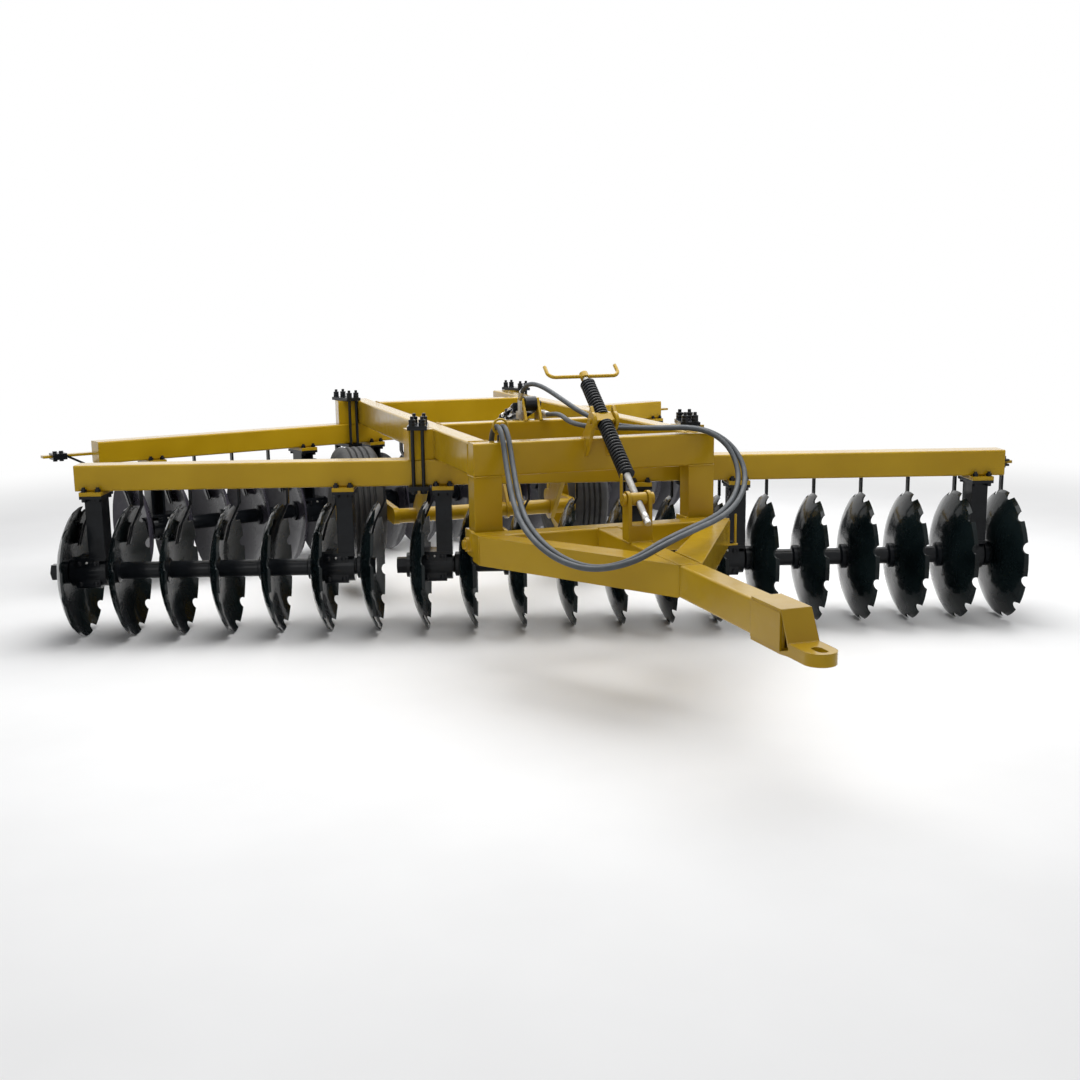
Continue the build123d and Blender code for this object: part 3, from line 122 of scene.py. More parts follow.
# %% Lamps
# name, place, size, watts: a broad one overhead, and a weaker one in front on the left
LAMPS = (
    ("overhead", (0.6, 0.4, 4.6), 6.0, 400),
    ("front", (-4.5, -6.0, 3.4), 3.0, 40),
)
LAMP_AIM = Vector((0, 0, 0.5))
for name, spot, size, watts in LAMPS:
    bpy.ops.object.light_add(type="AREA", location=spot)
    lamp = bpy.context.object
    lamp.name = name
    lamp.data.size = size
    lamp.data.energy = watts
    aim = LAMP_AIM - Vector(spot)
    lamp.rotation_euler = aim.to_track_quat("-Z", "Y").to_euler()

# %% Floor
FLOOR_SIZE = 120
FLOOR_Z = -0.002                 # just under the rims, which share no plane with it

bpy.ops.mesh.primitive_plane_add(size=FLOOR_SIZE, location=(0, 0, FLOOR_Z))
floor = bpy.context.object
floor.name = "floor"
print("lamps", len(LAMPS), "world", WORLD_LEVEL)

# %% [markdown]
# ## Finishes
# Every finish is a Principled shader whose colour and relief come from noise on Object
# coordinates. An image would need unwrapping, and the frame's pieces have no UV map. Noise in
# three dimensions needs none, and it runs on over a corner as real paint does.

# %% Material helpers
def new_material(name, **values):
    """A Principled material with these values on its own sockets."""
    material = bpy.data.materials.new(name)
    material.use_nodes = True
    shader = material.node_tree.nodes["Principled BSDF"]
    for socket, value in values.items():
        shader.inputs[socket.replace("_", " ")].default_value = value
    return material


def noise(material, scale, detail=3.0, stretch=(1, 1, 1)):
    """A noise in object space, finer as scale grows."""
    tree = material.node_tree
    coordinates = tree.nodes.new("ShaderNodeTexCoord")
    mapping = tree.nodes.new("ShaderNodeMapping")
    mapping.inputs["Scale"].default_value = stretch
    texture = tree.nodes.new("ShaderNodeTexNoise")
    texture.inputs["Scale"].default_value = scale
    texture.inputs["Detail"].default_value = detail
    tree.links.new(coordinates.outputs["Object"], mapping.inputs["Vector"])
    tree.links.new(mapping.outputs["Vector"], texture.inputs["Vector"])
    return texture.outputs["Fac"]


def shades(material, socket, source, stops):
    """Colours or greys along a ramp: stops are rows of place and value."""
    tree = material.node_tree
    ramp = tree.nodes.new("ShaderNodeValToRGB")
    while len(ramp.color_ramp.elements) < len(stops):
        ramp.color_ramp.elements.new(0.5)
    for element, (place, value) in zip(ramp.color_ramp.elements, stops):
        element.position = place
        element.color = (*value, 1) if isinstance(value, tuple) else (value, value, value, 1)
    tree.links.new(source, ramp.inputs["Fac"])
    shader = tree.nodes["Principled BSDF"]
    tree.links.new(ramp.outputs["Color"], shader.inputs[socket])


def relief(material, rows, edge=0.0):
    """Bumps from rows of source and depth in metres, over edges softened by `edge`."""
    tree = material.node_tree
    shader = tree.nodes["Principled BSDF"]
    normal = None
    if edge:
        soft = tree.nodes.new("ShaderNodeBevel")
        soft.samples = 4
        soft.inputs["Radius"].default_value = edge
        normal = soft.outputs["Normal"]
    for source, depth in rows:
        bump = tree.nodes.new("ShaderNodeBump")
        bump.inputs["Distance"].default_value = depth
        tree.links.new(source, bump.inputs["Height"])
        if normal:
            tree.links.new(normal, bump.inputs["Normal"])
        normal = bump.outputs["Normal"]
    for socket in ("Normal", "Coat Normal"):
        tree.links.new(normal, shader.inputs[socket])


# %% [markdown]
# ### Yellow enamel
# The frame is sprayed with thick glossy enamel. Sprayed paint is never quite even: its colour
# drifts a little over a hand's width, and its skin has the fine dimples of an orange. A clear
# coat on the shader gives the hard sheen, and two noises, one broad and one fine, do the rest.

# %% Yellow enamel
def yellow_enamel():
    paint = new_material("yellow_enamel", Coat_Weight=1.0, Coat_Roughness=0.05, Coat_IOR=1.24,
                         Specular_IOR_Level=0.06)
    deep, fresh = (0.37, 0.222, 0.004), (0.44, 0.276, 0.009)
    shades(paint, "Base Color", noise(paint, 3.2, 2.0), ((0.3, deep), (0.7, fresh)))
    shades(paint, "Roughness", noise(paint, 21), ((0.3, 0.3), (0.7, 0.42)))
    relief(paint, ((noise(paint, 260, 2.0), 0.00035), (noise(paint, 14, 2.0), 0.0012)), 0.005)
    return paint


# %% [markdown]
# ### Black enamel
# Hangers, bars, clamps and bolts are dipped in thin black paint, which pools in places and
# leaves them half glossy. Drifting roughness says that better than drifting colour.

# %% Black enamel
def black_enamel():
    paint = new_material("black_enamel", Coat_Weight=0.9, Coat_Roughness=0.05, Coat_IOR=1.25,
                         Specular_IOR_Level=0.05)
    pooled, thin = (0.004, 0.005, 0.0065), (0.011, 0.013, 0.016)
    shades(paint, "Base Color", noise(paint, 9), ((0.35, pooled), (0.7, thin)))
    shades(paint, "Roughness", noise(paint, 6), ((0.3, 0.28), (0.75, 0.48)))
    relief(paint, ((noise(paint, 180), 0.0004), (noise(paint, 22), 0.0010)), 0.002)
    return paint


# %% [markdown]
# ### Disc enamels
# A disc is pressed from hardened steel, and its skin keeps soft waves from the press under
# mirror-like black paint. The waves bend the reflections of the room into streaks, so the
# relief is broad and shallow. The rear discs are greyer, with a violet cast.

# %% Disc enamels
def disc_enamel(name, dark, light, rough, coat):
    """Enamel between two colours; rough is its smoothest roughness, coat its clear coat."""
    paint = new_material(name, Coat_Weight=coat, Coat_Roughness=0.06, Coat_IOR=1.3,
                         Specular_IOR_Level=0.05)
    shades(paint, "Base Color", noise(paint, 5, 4.0), ((0.35, dark), (0.68, light)))
    shades(paint, "Roughness", noise(paint, 12), ((0.3, rough), (0.7, rough + 0.16)))
    relief(paint, ((noise(paint, 6, 2.0), 0.0035), (noise(paint, 70, 3.0), 0.0004)), 0.0015)
    return paint


# %% [markdown]
# ### Bare metals and rubbers
# Ground steel shows fine scratches, chrome nearly none. Rubber is dull, and dust in its pores
# makes it a little paler here and there.

# %% Metals and rubbers
def ground_steel():
    steel = new_material("ground_steel", Metallic=1.0)
    dull, clean = (0.36, 0.35, 0.33), (0.52, 0.51, 0.49)
    shades(steel, "Base Color", noise(steel, 30), ((0.3, dull), (0.7, clean)))
    shades(steel, "Roughness", noise(steel, 60, 4.0, (1, 1, 9)), ((0.3, 0.24), (0.75, 0.5)))
    relief(steel, ((noise(steel, 240, 2.0, (1, 1, 6)), 0.0002),), 0.001)
    return steel


def hard_chrome():
    chrome = new_material("hard_chrome", Metallic=1.0)
    dull, clean = (0.66, 0.67, 0.69), (0.78, 0.79, 0.80)
    shades(chrome, "Base Color", noise(chrome, 20), ((0.3, dull), (0.7, clean)))
    shades(chrome, "Roughness", noise(chrome, 90, 3.0), ((0.3, 0.08), (0.8, 0.18)))
    relief(chrome, ((noise(chrome, 300), 0.00006),), 0.001)
    return chrome


def rubber(name, dark, dusty, rough, grain_scale, grain_depth):
    skin = new_material(name)
    shades(skin, "Base Color", noise(skin, 11, 5.0), ((0.4, dark), (0.75, dusty)))
    shades(skin, "Roughness", noise(skin, 30), ((0.3, rough), (0.75, rough + 0.15)))
    relief(skin, ((noise(skin, grain_scale, 3.0), grain_depth),), 0.001)
    return skin


# %% [markdown]
# ### Give every carried-over piece its finish
# The frame's record names a finish for every node, so one table from those names to these
# materials paints all of them.

# %% Paint the frame
finishes = {
    "yellow_paint": yellow_enamel(),
    "black_paint": black_enamel(),
    "disc_black": disc_enamel("disc_black", (0.002, 0.004, 0.0045), (0.007, 0.012, 0.013),
                              0.16, 0.6),
    "disc_grey": disc_enamel("disc_grey", (0.020, 0.019, 0.026), (0.052, 0.048, 0.062),
                             0.22, 0.8),
    "steel": ground_steel(),
    "chrome": hard_chrome(),
    "tyre": rubber("tyre_rubber", (0.014, 0.014, 0.014), (0.034, 0.032, 0.030),
                   0.62, 130, 0.0008),
    "hose_rubber": rubber("hose_rubber", (0.030, 0.036, 0.042), (0.055, 0.064, 0.072),
                          0.5, 420, 0.0003),
}
for piece in nodes.values():
    for held in piece.material_slots:
        held.material = finishes[held.material.name.split(".")[0]]
print("finishes", len(finishes))

# %% [markdown]
# ### Floor
# Near the machine the floor is a matt pale grey that takes its shadow. A few metres out it fades
# into the white of the room. The fade follows the distance from the machine's middle, and only
# camera, mirror and glass rays see it, so it sheds no light.

# %% Floor finish
FADE_START = 3.4
FADE_END = 7.5

pale = new_material("pale_floor", Roughness=0.8, Specular_IOR_Level=0.1)
shades(pale, "Base Color", noise(pale, 1.4), ((0.3, 0.84), (0.7, 0.88)))
tree = pale.node_tree
place = tree.nodes.new("ShaderNodeTexCoord")
reach = tree.nodes.new("ShaderNodeVectorMath")
reach.operation = "LENGTH"
tree.links.new(place.outputs["Object"], reach.inputs[0])
fade = tree.nodes.new("ShaderNodeMapRange")
fade.interpolation_type = "SMOOTHSTEP"
fade.inputs["From Min"].default_value = FADE_START
fade.inputs["From Max"].default_value = FADE_END
tree.links.new(reach.outputs["Value"], fade.inputs["Value"])
seen_only = tree.nodes.new("ShaderNodeMath")
seen_only.operation = "MULTIPLY"
tree.links.new(fade.outputs["Result"], seen_only.inputs[0])
tree.links.new(seen_rays(tree), seen_only.inputs[1])
white = tree.nodes.new("ShaderNodeEmission")
blend = tree.nodes.new("ShaderNodeMixShader")
tree.links.new(seen_only.outputs[0], blend.inputs["Fac"])
tree.links.new(tree.nodes["Principled BSDF"].outputs["BSDF"], blend.inputs[1])
tree.links.new(white.outputs["Emission"], blend.inputs[2])
tree.links.new(blend.outputs["Shader"], tree.nodes["Material Output"].inputs["Surface"])
floor.data.materials.append(pale)

# %% [markdown]
# ## Modelling helpers
# Most round things here are turned. A lathe in Blender is a profile and the Spin tool: one
# vertex is extruded from row to row until it has drawn half the outline, and Spin carries that
# outline round the Z axis. A cylinder with loop cuts could be scaled ring by ring to the same
# shape, but the profile is read at a glance, and changing one row changes one ring.

# %% Lathe
MERGE_DISTANCE = 0.00002


def deselect():
    if bpy.context.object and bpy.context.object.mode != "OBJECT":
        bpy.ops.object.mode_set(mode="OBJECT")
    bpy.ops.object.select_all(action="DESELECT")


def lathe(profile, steps=32):
    """Draw rows of (radius, height) with one vertex and spin them about Z."""
    deselect()
    bpy.ops.mesh.primitive_plane_add(size=0.01)
    bpy.ops.object.mode_set(mode="EDIT")
    bpy.ops.mesh.select_all(action="SELECT")
    bpy.ops.mesh.merge(type="CENTER")
    bpy.ops.transform.translate(value=(profile[0][0], 0, profile[0][1]))
    for (radius, height), (next_radius, next_height) in zip(profile, profile[1:]):
        step = (next_radius - radius, 0, next_height - height)
        bpy.ops.mesh.extrude_region_move(TRANSFORM_OT_translate={"value": step})
    bpy.ops.mesh.select_all(action="SELECT")
    bpy.ops.mesh.spin(steps=steps, angle=2 * pi, center=(0, 0, 0), axis=(0, 0, 1))
    bpy.ops.mesh.select_all(action="SELECT")
    bpy.ops.mesh.remove_doubles(threshold=MERGE_DISTANCE)
    bpy.ops.mesh.normals_make_consistent(inside=False)
    bpy.ops.object.mode_set(mode="OBJECT")
    return bpy.context.object


# %% [markdown]
# A piece is drawn once at the origin, standing on Z, because sizes are easiest to think of
# there. It is then stood in its place, and the move is baked into its mesh, so that every
# finished piece has its origin where the machine has its own. Repeats are copies of one
# master, each with a mesh of its own, joined into one piece for each body that carries them.

# %% Stand, join and hand over
def standing(place, direction=(0, 0, 1), turn=0.0):
    """Matrix that stands a piece drawn along Z at a place, along a direction."""
    aim = Vector(direction).to_track_quat("Z", "Y").to_matrix().to_4x4()
    return Matrix.Translation(Vector(place)) @ aim @ Matrix.Rotation(turn, 4, "Z")


def bake(piece):
    """Write a piece's place, turn and scale into its mesh."""
    deselect()
    piece.select_set(True)
    bpy.context.view_layer.objects.active = piece
    bpy.ops.object.transform_apply(location=True, rotation=True, scale=True)
    return piece


def join(parts):
    deselect()
    for part in parts:
        part.select_set(True)
    bpy.context.view_layer.objects.active = parts[0]
    bpy.ops.object.join()
    return parts[0]


def copies(master, matrices):
    """One joined piece with a copy of the master at every matrix; the master goes."""
    twins = []
    for matrix in matrices:
        twin = master.copy()
        twin.data = master.data.copy()
        bpy.context.collection.objects.link(twin)
        twin.matrix_world = matrix
        twins.append(twin)
    bpy.data.objects.remove(master)
    return join(twins)


def hand_over(piece, name, body, finish, smooth=35):
    """Bake the piece's place, name it, paint it and let it ride with its body."""
    bake(piece)
    bpy.ops.object.shade_smooth_by_angle(angle=radians(smooth))
    bpy.ops.object.mode_set(mode="EDIT")
    bpy.ops.mesh.select_all(action="SELECT")
    bpy.ops.mesh.normals_make_consistent(inside=False)
    bpy.ops.object.mode_set(mode="OBJECT")
    piece.name = name
    piece.data.materials.clear()
    piece.data.materials.append(finishes[finish])
    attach(piece, body)
    print(name, len(piece.data.polygons), "faces")
    return piece


def bevel(width, segments=2):
    """Bevel all the edges of the object in hand whose faces meet at an angle."""
    bpy.ops.object.modifier_add(type="BEVEL")
    modifier = bpy.context.object.modifiers[-1]
    modifier.width = width
    modifier.segments = segments
    modifier.limit_method = "ANGLE"
    bpy.ops.object.modifier_apply(modifier=modifier.name)


def block(size, place=(0, 0, 0)):
    """A cube scaled to a size about a place, and left as the object in hand."""
    deselect()
    bpy.ops.mesh.primitive_cube_add(size=1, location=place, scale=size)
    return bake(bpy.context.object)


# %% [markdown]
# A nut is a six-sided cylinder whose corners are turned off, so all its edges are bevelled. A
# washer is a low turned disc with a softened edge. Both are needed in many places below.

# %% Nuts and washers
NUT_EDGE = 0.05                  # bevel, as a share of the width across the flats
WASHER_EDGE = 0.3                # bevel, as a share of the height


def nut(across, height, z=0.0):
    """A hexagon nut from z up, its upper and lower corners turned off."""
    deselect()
    radius = across / 2 / cos(pi / 6)
    bpy.ops.mesh.primitive_cylinder_add(vertices=6, radius=radius, depth=height,
                                        location=(0, 0, z + height / 2))
    bake(bpy.context.object)
    bevel(across * NUT_EDGE)
    return bpy.context.object


def washer(radius, height, z=0.0):
    edge = height * WASHER_EDGE
    return lathe(((0, z), (radius - edge, z), (radius, z + edge), (radius, z + height - edge),
                  (radius - edge, z + height), (0, z + height)), 24)


def raised(piece, z):
    piece.location.z += z
    return bake(piece)


# %% [markdown]
# Places are read off the frame's joints wherever a joint says them. All others are given in
# millimetres from two marks: the drawbar's middle line, and the front face of the main frame.

# %% Places on the machine
FRONT = -0.962                   # the frame's front face

middle = joints["drawbar_hinge"]["pos_m"][0]
trunnion = Vector(joints["screw_tilt"]["pos_m"])
nut_pin = Vector(joints["nut_tilt"]["pos_m"])
down_screw = (nut_pin - trunnion).normalized()


def at(x, distance, z):
    """From millimetres: X from the middle line, distance behind the frame's front face, height."""
    return Vector((middle + x / 1000, FRONT + distance / 1000, z / 1000))


print("middle line at", middle, "screw", [round(v, 3) for v in down_screw])

# %% [markdown]
# ## Hydraulic hoses
# Two hoses carry oil from the tractor to the lift cylinder. Until they are coupled they hang in
# a wide loop over the drawbar and lie in a ring on the front beam. A hose is a curve with a
# round bevel: its route stays a short list of points, and it can be laid again at any time. A
# NURBS curve passes smoothly between its points, as a stiff hose does, where a polyline would
# kink at them.

# %% Routes of the hoses
HOSE_D = 0.022
# X from the middle line, distance behind the frame's front face, height, in millimetres
HOSE_1 = (
    (-46, 933, 1069), (-46, 892, 1110), (-42, 812, 1136), (-32, 706, 1138), (-16, 584, 1116),
    (4, 446, 1080), (36, 300, 1034), (100, 182, 996), (200, 96, 978), (318, 54, 976),
    (430, 26, 978), (520, -26, 960), (584, -90, 906), (602, -168, 832), (566, -262, 762),
    (478, -376, 708), (358, -506, 680), (214, -660, 678), (60, -818, 682), (-96, -930, 664),
    (-236, -960, 610), (-352, -876, 576), (-426, -736, 588), (-464, -574, 626), (-474, -408, 682),
    (-458, -254, 752), (-440, -136, 838), (-430, -66, 910), (-427, -33, 967), (-427, 13, 1012),
    (-427, 77, 1012), (-433, 122, 967), (-433, 122, 905),
)
HOSE_2 = (
    (76, 918, 980), (76, 864, 980), (70, 790, 988), (56, 670, 998), (34, 540, 998), (10, 412, 992),
    (4, 296, 986), (28, 186, 982), (100, 104, 980), (186, 71, 978), (310, 27, 976), (419, 0, 978),
    (503, -48, 960), (559, -104, 906), (573, -166, 832), (541, -248, 762), (457, -358, 708),
    (337, -487, 680), (194, -641, 678), (42, -797, 682), (-108, -904, 664), (-230, -930, 610),
    (-330, -857, 576), (-400, -726, 588), (-436, -570, 626), (-448, -409, 682), (-432, -257, 752),
    (-414, -140, 838), (-404, -69, 910), (-402, -33, 967), (-402, 13, 1012), (-402, 77, 1012),
    (-396, 122, 967), (-396, 122, 905),
)
print("route points", len(HOSE_1), len(HOSE_2))

# %% [markdown]
# Every hose ends in a steel ferrule that is squeezed onto the rubber, and the squeezing leaves
# rings in it. The loose ends carry push-in couplers with a grooved sleeve for the fingers. All
# of these are turned, so each is a profile on the lathe, closed on its inner side.

# %% Hose ends
FERRULE_IN = 0.0112
FERRULE_R = 0.0145
FERRULE_L = 0.034
SQUEEZES = (0.003, 0.0135, 0.024)
SLEEVE_IN = 0.0150
SLEEVE_R = 0.0170
SLEEVE_GROOVE_R = 0.0160
SLEEVE_GRIPS = (-0.056, -0.047, -0.038, -0.029)
TIP_IN = 0.0080
TIP_R = 0.0098
TIP_GROOVE_R = 0.0088
COUPLER_NUT = (0.028, 0.015, -0.019)     # across, height, from

squeezed = [(FERRULE_IN, 0), (FERRULE_R - 0.001, 0)]
for z in SQUEEZES:
    squeezed += [(FERRULE_R, z - 0.001), (FERRULE_R, z + 0.006),
                 (FERRULE_R - 0.0011, z + 0.0075)]
squeezed += [(FERRULE_R - 0.0018, FERRULE_L), (FERRULE_IN, FERRULE_L), (FERRULE_IN, 0)]
sleeve = [(SLEEVE_IN, -0.060), (0.0162, -0.0595)]
for z in SLEEVE_GRIPS:
    sleeve += [(SLEEVE_R, z - 0.002), (SLEEVE_R, z + 0.002),
               (SLEEVE_GROOVE_R, z + 0.003), (SLEEVE_GROOVE_R, z + 0.004)]
sleeve += [(SLEEVE_IN, -0.024), (SLEEVE_IN, -0.060)]
tip = ((TIP_IN, -0.0818), (0.0094, -0.0805), (TIP_R, -0.075), (TIP_GROOVE_R, -0.0735),
       (TIP_GROOVE_R, -0.0715), (TIP_R, -0.070), (TIP_R, -0.0625), (TIP_IN, -0.0622),
       (TIP_IN, -0.0818))


def hose_ends(name, route):
    """A ferrule on both ends of a hose, and a coupler sleeve on its loose one."""
    start = standing(at(*route[0]), at(*route[1]) - at(*route[0]))
    end = standing(at(*route[-1]))
    ferrules = copies(lathe(squeezed, 24), [start, end])
    coupler = join([nut(*COUPLER_NUT), lathe(sleeve, 24), lathe(tip, 20)])
    coupler.matrix_world = end
    return hand_over(join([ferrules, coupler]), name, "frame", "steel")


# %% Hoses
def hose(name, route):
    """A rubber hose along a route, with its own ends, in place of the frame's plain one."""
    deselect()
    bpy.ops.curve.primitive_nurbs_path_add()
    cord = bpy.context.object
    curve = cord.data
    curve.splines.clear()
    spline = curve.splines.new("NURBS")
    spline.points.add(len(route) - 1)
    for point, place in zip(spline.points, route):
        point.co = (*at(*place), 1)
    spline.order_u = 3
    spline.use_endpoint_u = True
    spline.resolution_u = 8
    curve.dimensions = "3D"
    curve.bevel_depth = HOSE_D / 2
    curve.bevel_resolution = 4
    curve.use_fill_caps = True
    cord.name = name + "_rubber"
    curve.materials.append(finishes["hose_rubber"])
    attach(cord, "frame")
    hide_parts(name)
    hose_ends(name + "_ends", route)
    return cord


hoses = [hose("hose_1", HOSE_1), hose("hose_2", HOSE_2)]
print("hoses", [len(cord.data.splines[0].points) for cord in hoses])

# %% [markdown]
# ## Levelling screw
# The screw holds the drawbar at its height. It passes through a trunnion between two ears, and
# two compression springs on it, above and below the trunnion, let the drawbar give a little.
# A spring is a ring carried round and up: the Screw modifier does both at once, with the pitch
# as its offset and the turns as its iterations. The thread of the rod is made the same way from
# a small zigzag, one pitch high.

# %% Springs
WIRE_R = 0.0058
COIL_R = 0.0268
COIL_PITCH = 0.0163
TRUNNION_HALF = 0.024
UPPER_L = 0.210
LOWER_L = 0.300
SPRINGS = ((-TRUNNION_HALF - UPPER_L, UPPER_L), (TRUNNION_HALF, LOWER_L))   # start, length
WASHER_IN = 0.0145
WASHER_OUT = 0.033
WASHER_T = 0.004


def coil(length):
    """A wire wound in whole turns over this length."""
    deselect()
    bpy.ops.mesh.primitive_circle_add(vertices=10, radius=WIRE_R, location=(COIL_R, 0, WIRE_R),
                                      rotation=(pi / 2, 0, 0))
    ring = bake(bpy.context.object)
    turns = int((length - 2 * WIRE_R) / COIL_PITCH)
    bpy.ops.object.modifier_add(type="SCREW")
    screw = ring.modifiers[-1]
    screw.angle = 2 * pi
    screw.iterations = turns
    screw.screw_offset = (length - 2 * WIRE_R) / turns
    screw.steps = 24
    screw.use_merge_vertices = True
    bpy.ops.object.modifier_apply(modifier=screw.name)
    return ring


def spring_washer(z):
    return lathe(((WASHER_IN, z), (WASHER_OUT, z), (WASHER_OUT, z + WASHER_T),
                  (WASHER_IN, z + WASHER_T), (WASHER_IN, z)))


parts = []
for start, length in SPRINGS:
    spring = join([coil(length), spring_washer(0.0), spring_washer(length - WASHER_T)])
    spring.matrix_world = standing(trunnion + down_screw * start, down_screw)
    parts.append(spring)
springs = hand_over(join(parts), "coil_springs", "levelling_screw", "black_paint", 60)
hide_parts("screw_springs")

# %% Threaded rod
ROD_R = 0.0137
ROD_ROOT = 0.0118
THREAD_PITCH = 0.0058
ROD_START = -0.270
ROD_END = 0.550


def thread(length, crest, root, pitch, steps=20):
    """A rod of this length with a thread round it, closed by the tapered ends of its core."""
    deselect()
    bpy.ops.mesh.primitive_plane_add(size=0.01)
    rod = bpy.context.object
    bpy.ops.object.mode_set(mode="EDIT")
    bpy.ops.mesh.select_all(action="SELECT")
    bpy.ops.mesh.merge(type="CENTER")
    bpy.ops.transform.translate(value=(root, 0, 0))
    for out in (crest - root, root - crest):
        step = (out, 0, pitch / 2)
        bpy.ops.mesh.extrude_region_move(TRANSFORM_OT_translate={"value": step})
    bpy.ops.object.mode_set(mode="OBJECT")
    bpy.ops.object.modifier_add(type="SCREW")
    screw = rod.modifiers[-1]
    screw.iterations = int(length / pitch) - 1
    screw.screw_offset = pitch
    screw.steps = steps
    screw.use_merge_vertices = True
    screw.merge_threshold = 0.0001
    bpy.ops.object.modifier_apply(modifier=screw.name)
    end = root * 0.9
    core = lathe(((0, 0), (end, 0), (root, pitch), (root, length - pitch), (end, length),
                  (0, length)), steps)
    return join([rod, core])


# the plain end beyond the thread, with one groove
plain_end = lathe(((0, 0.810), (ROD_ROOT, 0.812), (ROD_R, 0.822), (ROD_R, 0.842),
                   (ROD_ROOT, 0.844), (ROD_ROOT, 0.850), (ROD_R, 0.852), (ROD_R, 0.866),
                   (ROD_ROOT, 0.870), (0, 0.870)))
rod = join([thread(ROD_END - ROD_START, ROD_R, ROD_ROOT, THREAD_PITCH), plain_end])
rod.matrix_world = standing(trunnion + down_screw * ROD_START, down_screw)
rod = hand_over(rod, "screw_rod", "levelling_screw", "steel", 50)
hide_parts("levelling_screw")

# %% [markdown]
# ## Clamp rods
# The clamps are held by long threaded rods with a locked pair of nuts above and a nut below. One
# rod with its nuts and washers is made, and then it is copied to every corner of every clamp.

# %% Clamp rods
CLAMP_X = 0.604
CLAMP_BOLT_S = 0.023
CLAMP_BOLT_T = 0.084
GANG_TURNS = {"front": -16, "rear": 18}
CLAMP_TOP = 0.968
CLAMP_BOTTOM = 0.672
CLAMP_ROD_TOP = CLAMP_TOP + 0.046
CLAMP_ROD_LOW = CLAMP_BOTTOM - 0.016
CLAMP_THREAD = (0.009, 0.0082, 0.0035)   # crest, root, pitch
CLAMP_NUT = 0.030
CLAMP_WASHER_R = 0.0185
NUT_TWIST = 0.4                          # from rod to rod, as no two nuts stop alike


def gang_line(end):
    """Y where a gang crosses the middle line, and the direction it runs in."""
    spin = joints[f"{end}_gang_middle_spin"]
    axis = Vector(spin["axis"]).normalized()
    place = Vector(spin["pos_m"])
    return (place + axis * ((middle - place.x) / axis.x)).y, axis


def turned_place(x, y, degrees):
    """Matrix of a place on the ground, turned about the upright."""
    return Matrix.Translation((x, y, 0)) @ Matrix.Rotation(radians(degrees), 4, "Z")


clamp_spots = []
for end, degrees in GANG_TURNS.items():
    crossing, axis = gang_line(end)
    for x in (-CLAMP_X, CLAMP_X):
        y = crossing + x * axis.y / axis.x
        clamp_spots.append(turned_place(middle + x, y, degrees))

clamp_rod = join([
    raised(thread(CLAMP_ROD_TOP - CLAMP_ROD_LOW, *CLAMP_THREAD, 12), CLAMP_ROD_LOW),
    washer(CLAMP_WASHER_R, 0.003, CLAMP_TOP),
    nut(CLAMP_NUT, 0.015, CLAMP_TOP + 0.003),
    nut(CLAMP_NUT, 0.013, CLAMP_TOP + 0.0185),
    washer(CLAMP_WASHER_R, 0.0025, CLAMP_BOTTOM - 0.0025),
    nut(CLAMP_NUT, 0.0135, CLAMP_ROD_LOW),
])
corners = [(s, t) for s in (-CLAMP_BOLT_S, CLAMP_BOLT_S) for t in (-CLAMP_BOLT_T, CLAMP_BOLT_T)]
spots = [here @ Matrix.Translation((s, t, 0)) @ Matrix.Rotation(NUT_TWIST * k, 4, "Z")
         for here in clamp_spots for k, (s, t) in enumerate(corners)]
clamp_rods = hand_over(copies(clamp_rod, spots), "clamp_rods", "frame", "black_paint", 40)
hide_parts("clamp_bolts")

# %% [markdown]
# ## Lift cylinder
# Oil reaches both ends of the cylinder through two bright pipes along its barrel. A union nut at
# each end draws a pipe to its port, a clip holds the pair in the middle, and a gland with a
# wiper lip closes the rod end. They are turned along Z and stood along the cylinder together.

# %% Pipes and gland
LEVER_PIN = (0, 1556, 846)
PIPE_X = -0.053
PIPE_R = 0.0085
PIPE_START = 0.100
PIPES = ((0.014, 0.446), (-0.014, 0.318))   # side of the barrel's middle line, far port
UNION_NUT = (0.022, 0.013)                  # across, height
CLIP = (0.024, 0.056, 0.018)
CLIP_AT = 0.212
SEAM_R = 0.0445
SEAM_AT = 0.0595
SEAM_BEAD = 0.003
GLAND_IN = 0.0205
GLAND_R = 0.0478

pin = Vector(joints["cylinder_tilt"]["pos_m"])
run = at(*LEVER_PIN) - pin
run = Vector((0, run.y, run.z)).normalized()
axes = Matrix((Vector((1, 0, 0)), run.cross(Vector((1, 0, 0))), run)).transposed().to_4x4()
along_barrel = Matrix.Translation(pin) @ axes

parts = []
for off, end in PIPES:
    top = end - 0.008
    pipe = lathe(((0, PIPE_START), (PIPE_R, PIPE_START), (PIPE_R, top), (0, top)), 24)
    pipe = join([pipe, nut(*UNION_NUT, 0.1075), nut(*UNION_NUT, end - 0.0285)])
    pipe.matrix_world = along_barrel @ Matrix.Translation((PIPE_X, off, 0))
    parts.append(pipe)
hand_over(join(parts), "cylinder_pipes", "cylinder_barrel", "chrome")

clip = block(CLIP, (PIPE_X, 0, CLIP_AT))
bevel(0.004, 3)
clip_nut = nut(0.017, 0.008)
clip_nut.matrix_world = standing((PIPE_X - CLIP[0] / 2, 0, CLIP_AT), (-1, 0, 0))
eighths = [pi * k / 4 for k in range(9)]
seam = lathe([(SEAM_R + SEAM_BEAD * cos(a), SEAM_AT + SEAM_BEAD * sin(a)) for a in eighths], 48)
clip = join([clip, clip_nut, seam])
clip.matrix_world = along_barrel
hand_over(clip, "pipe_clip", "cylinder_barrel", "black_paint")

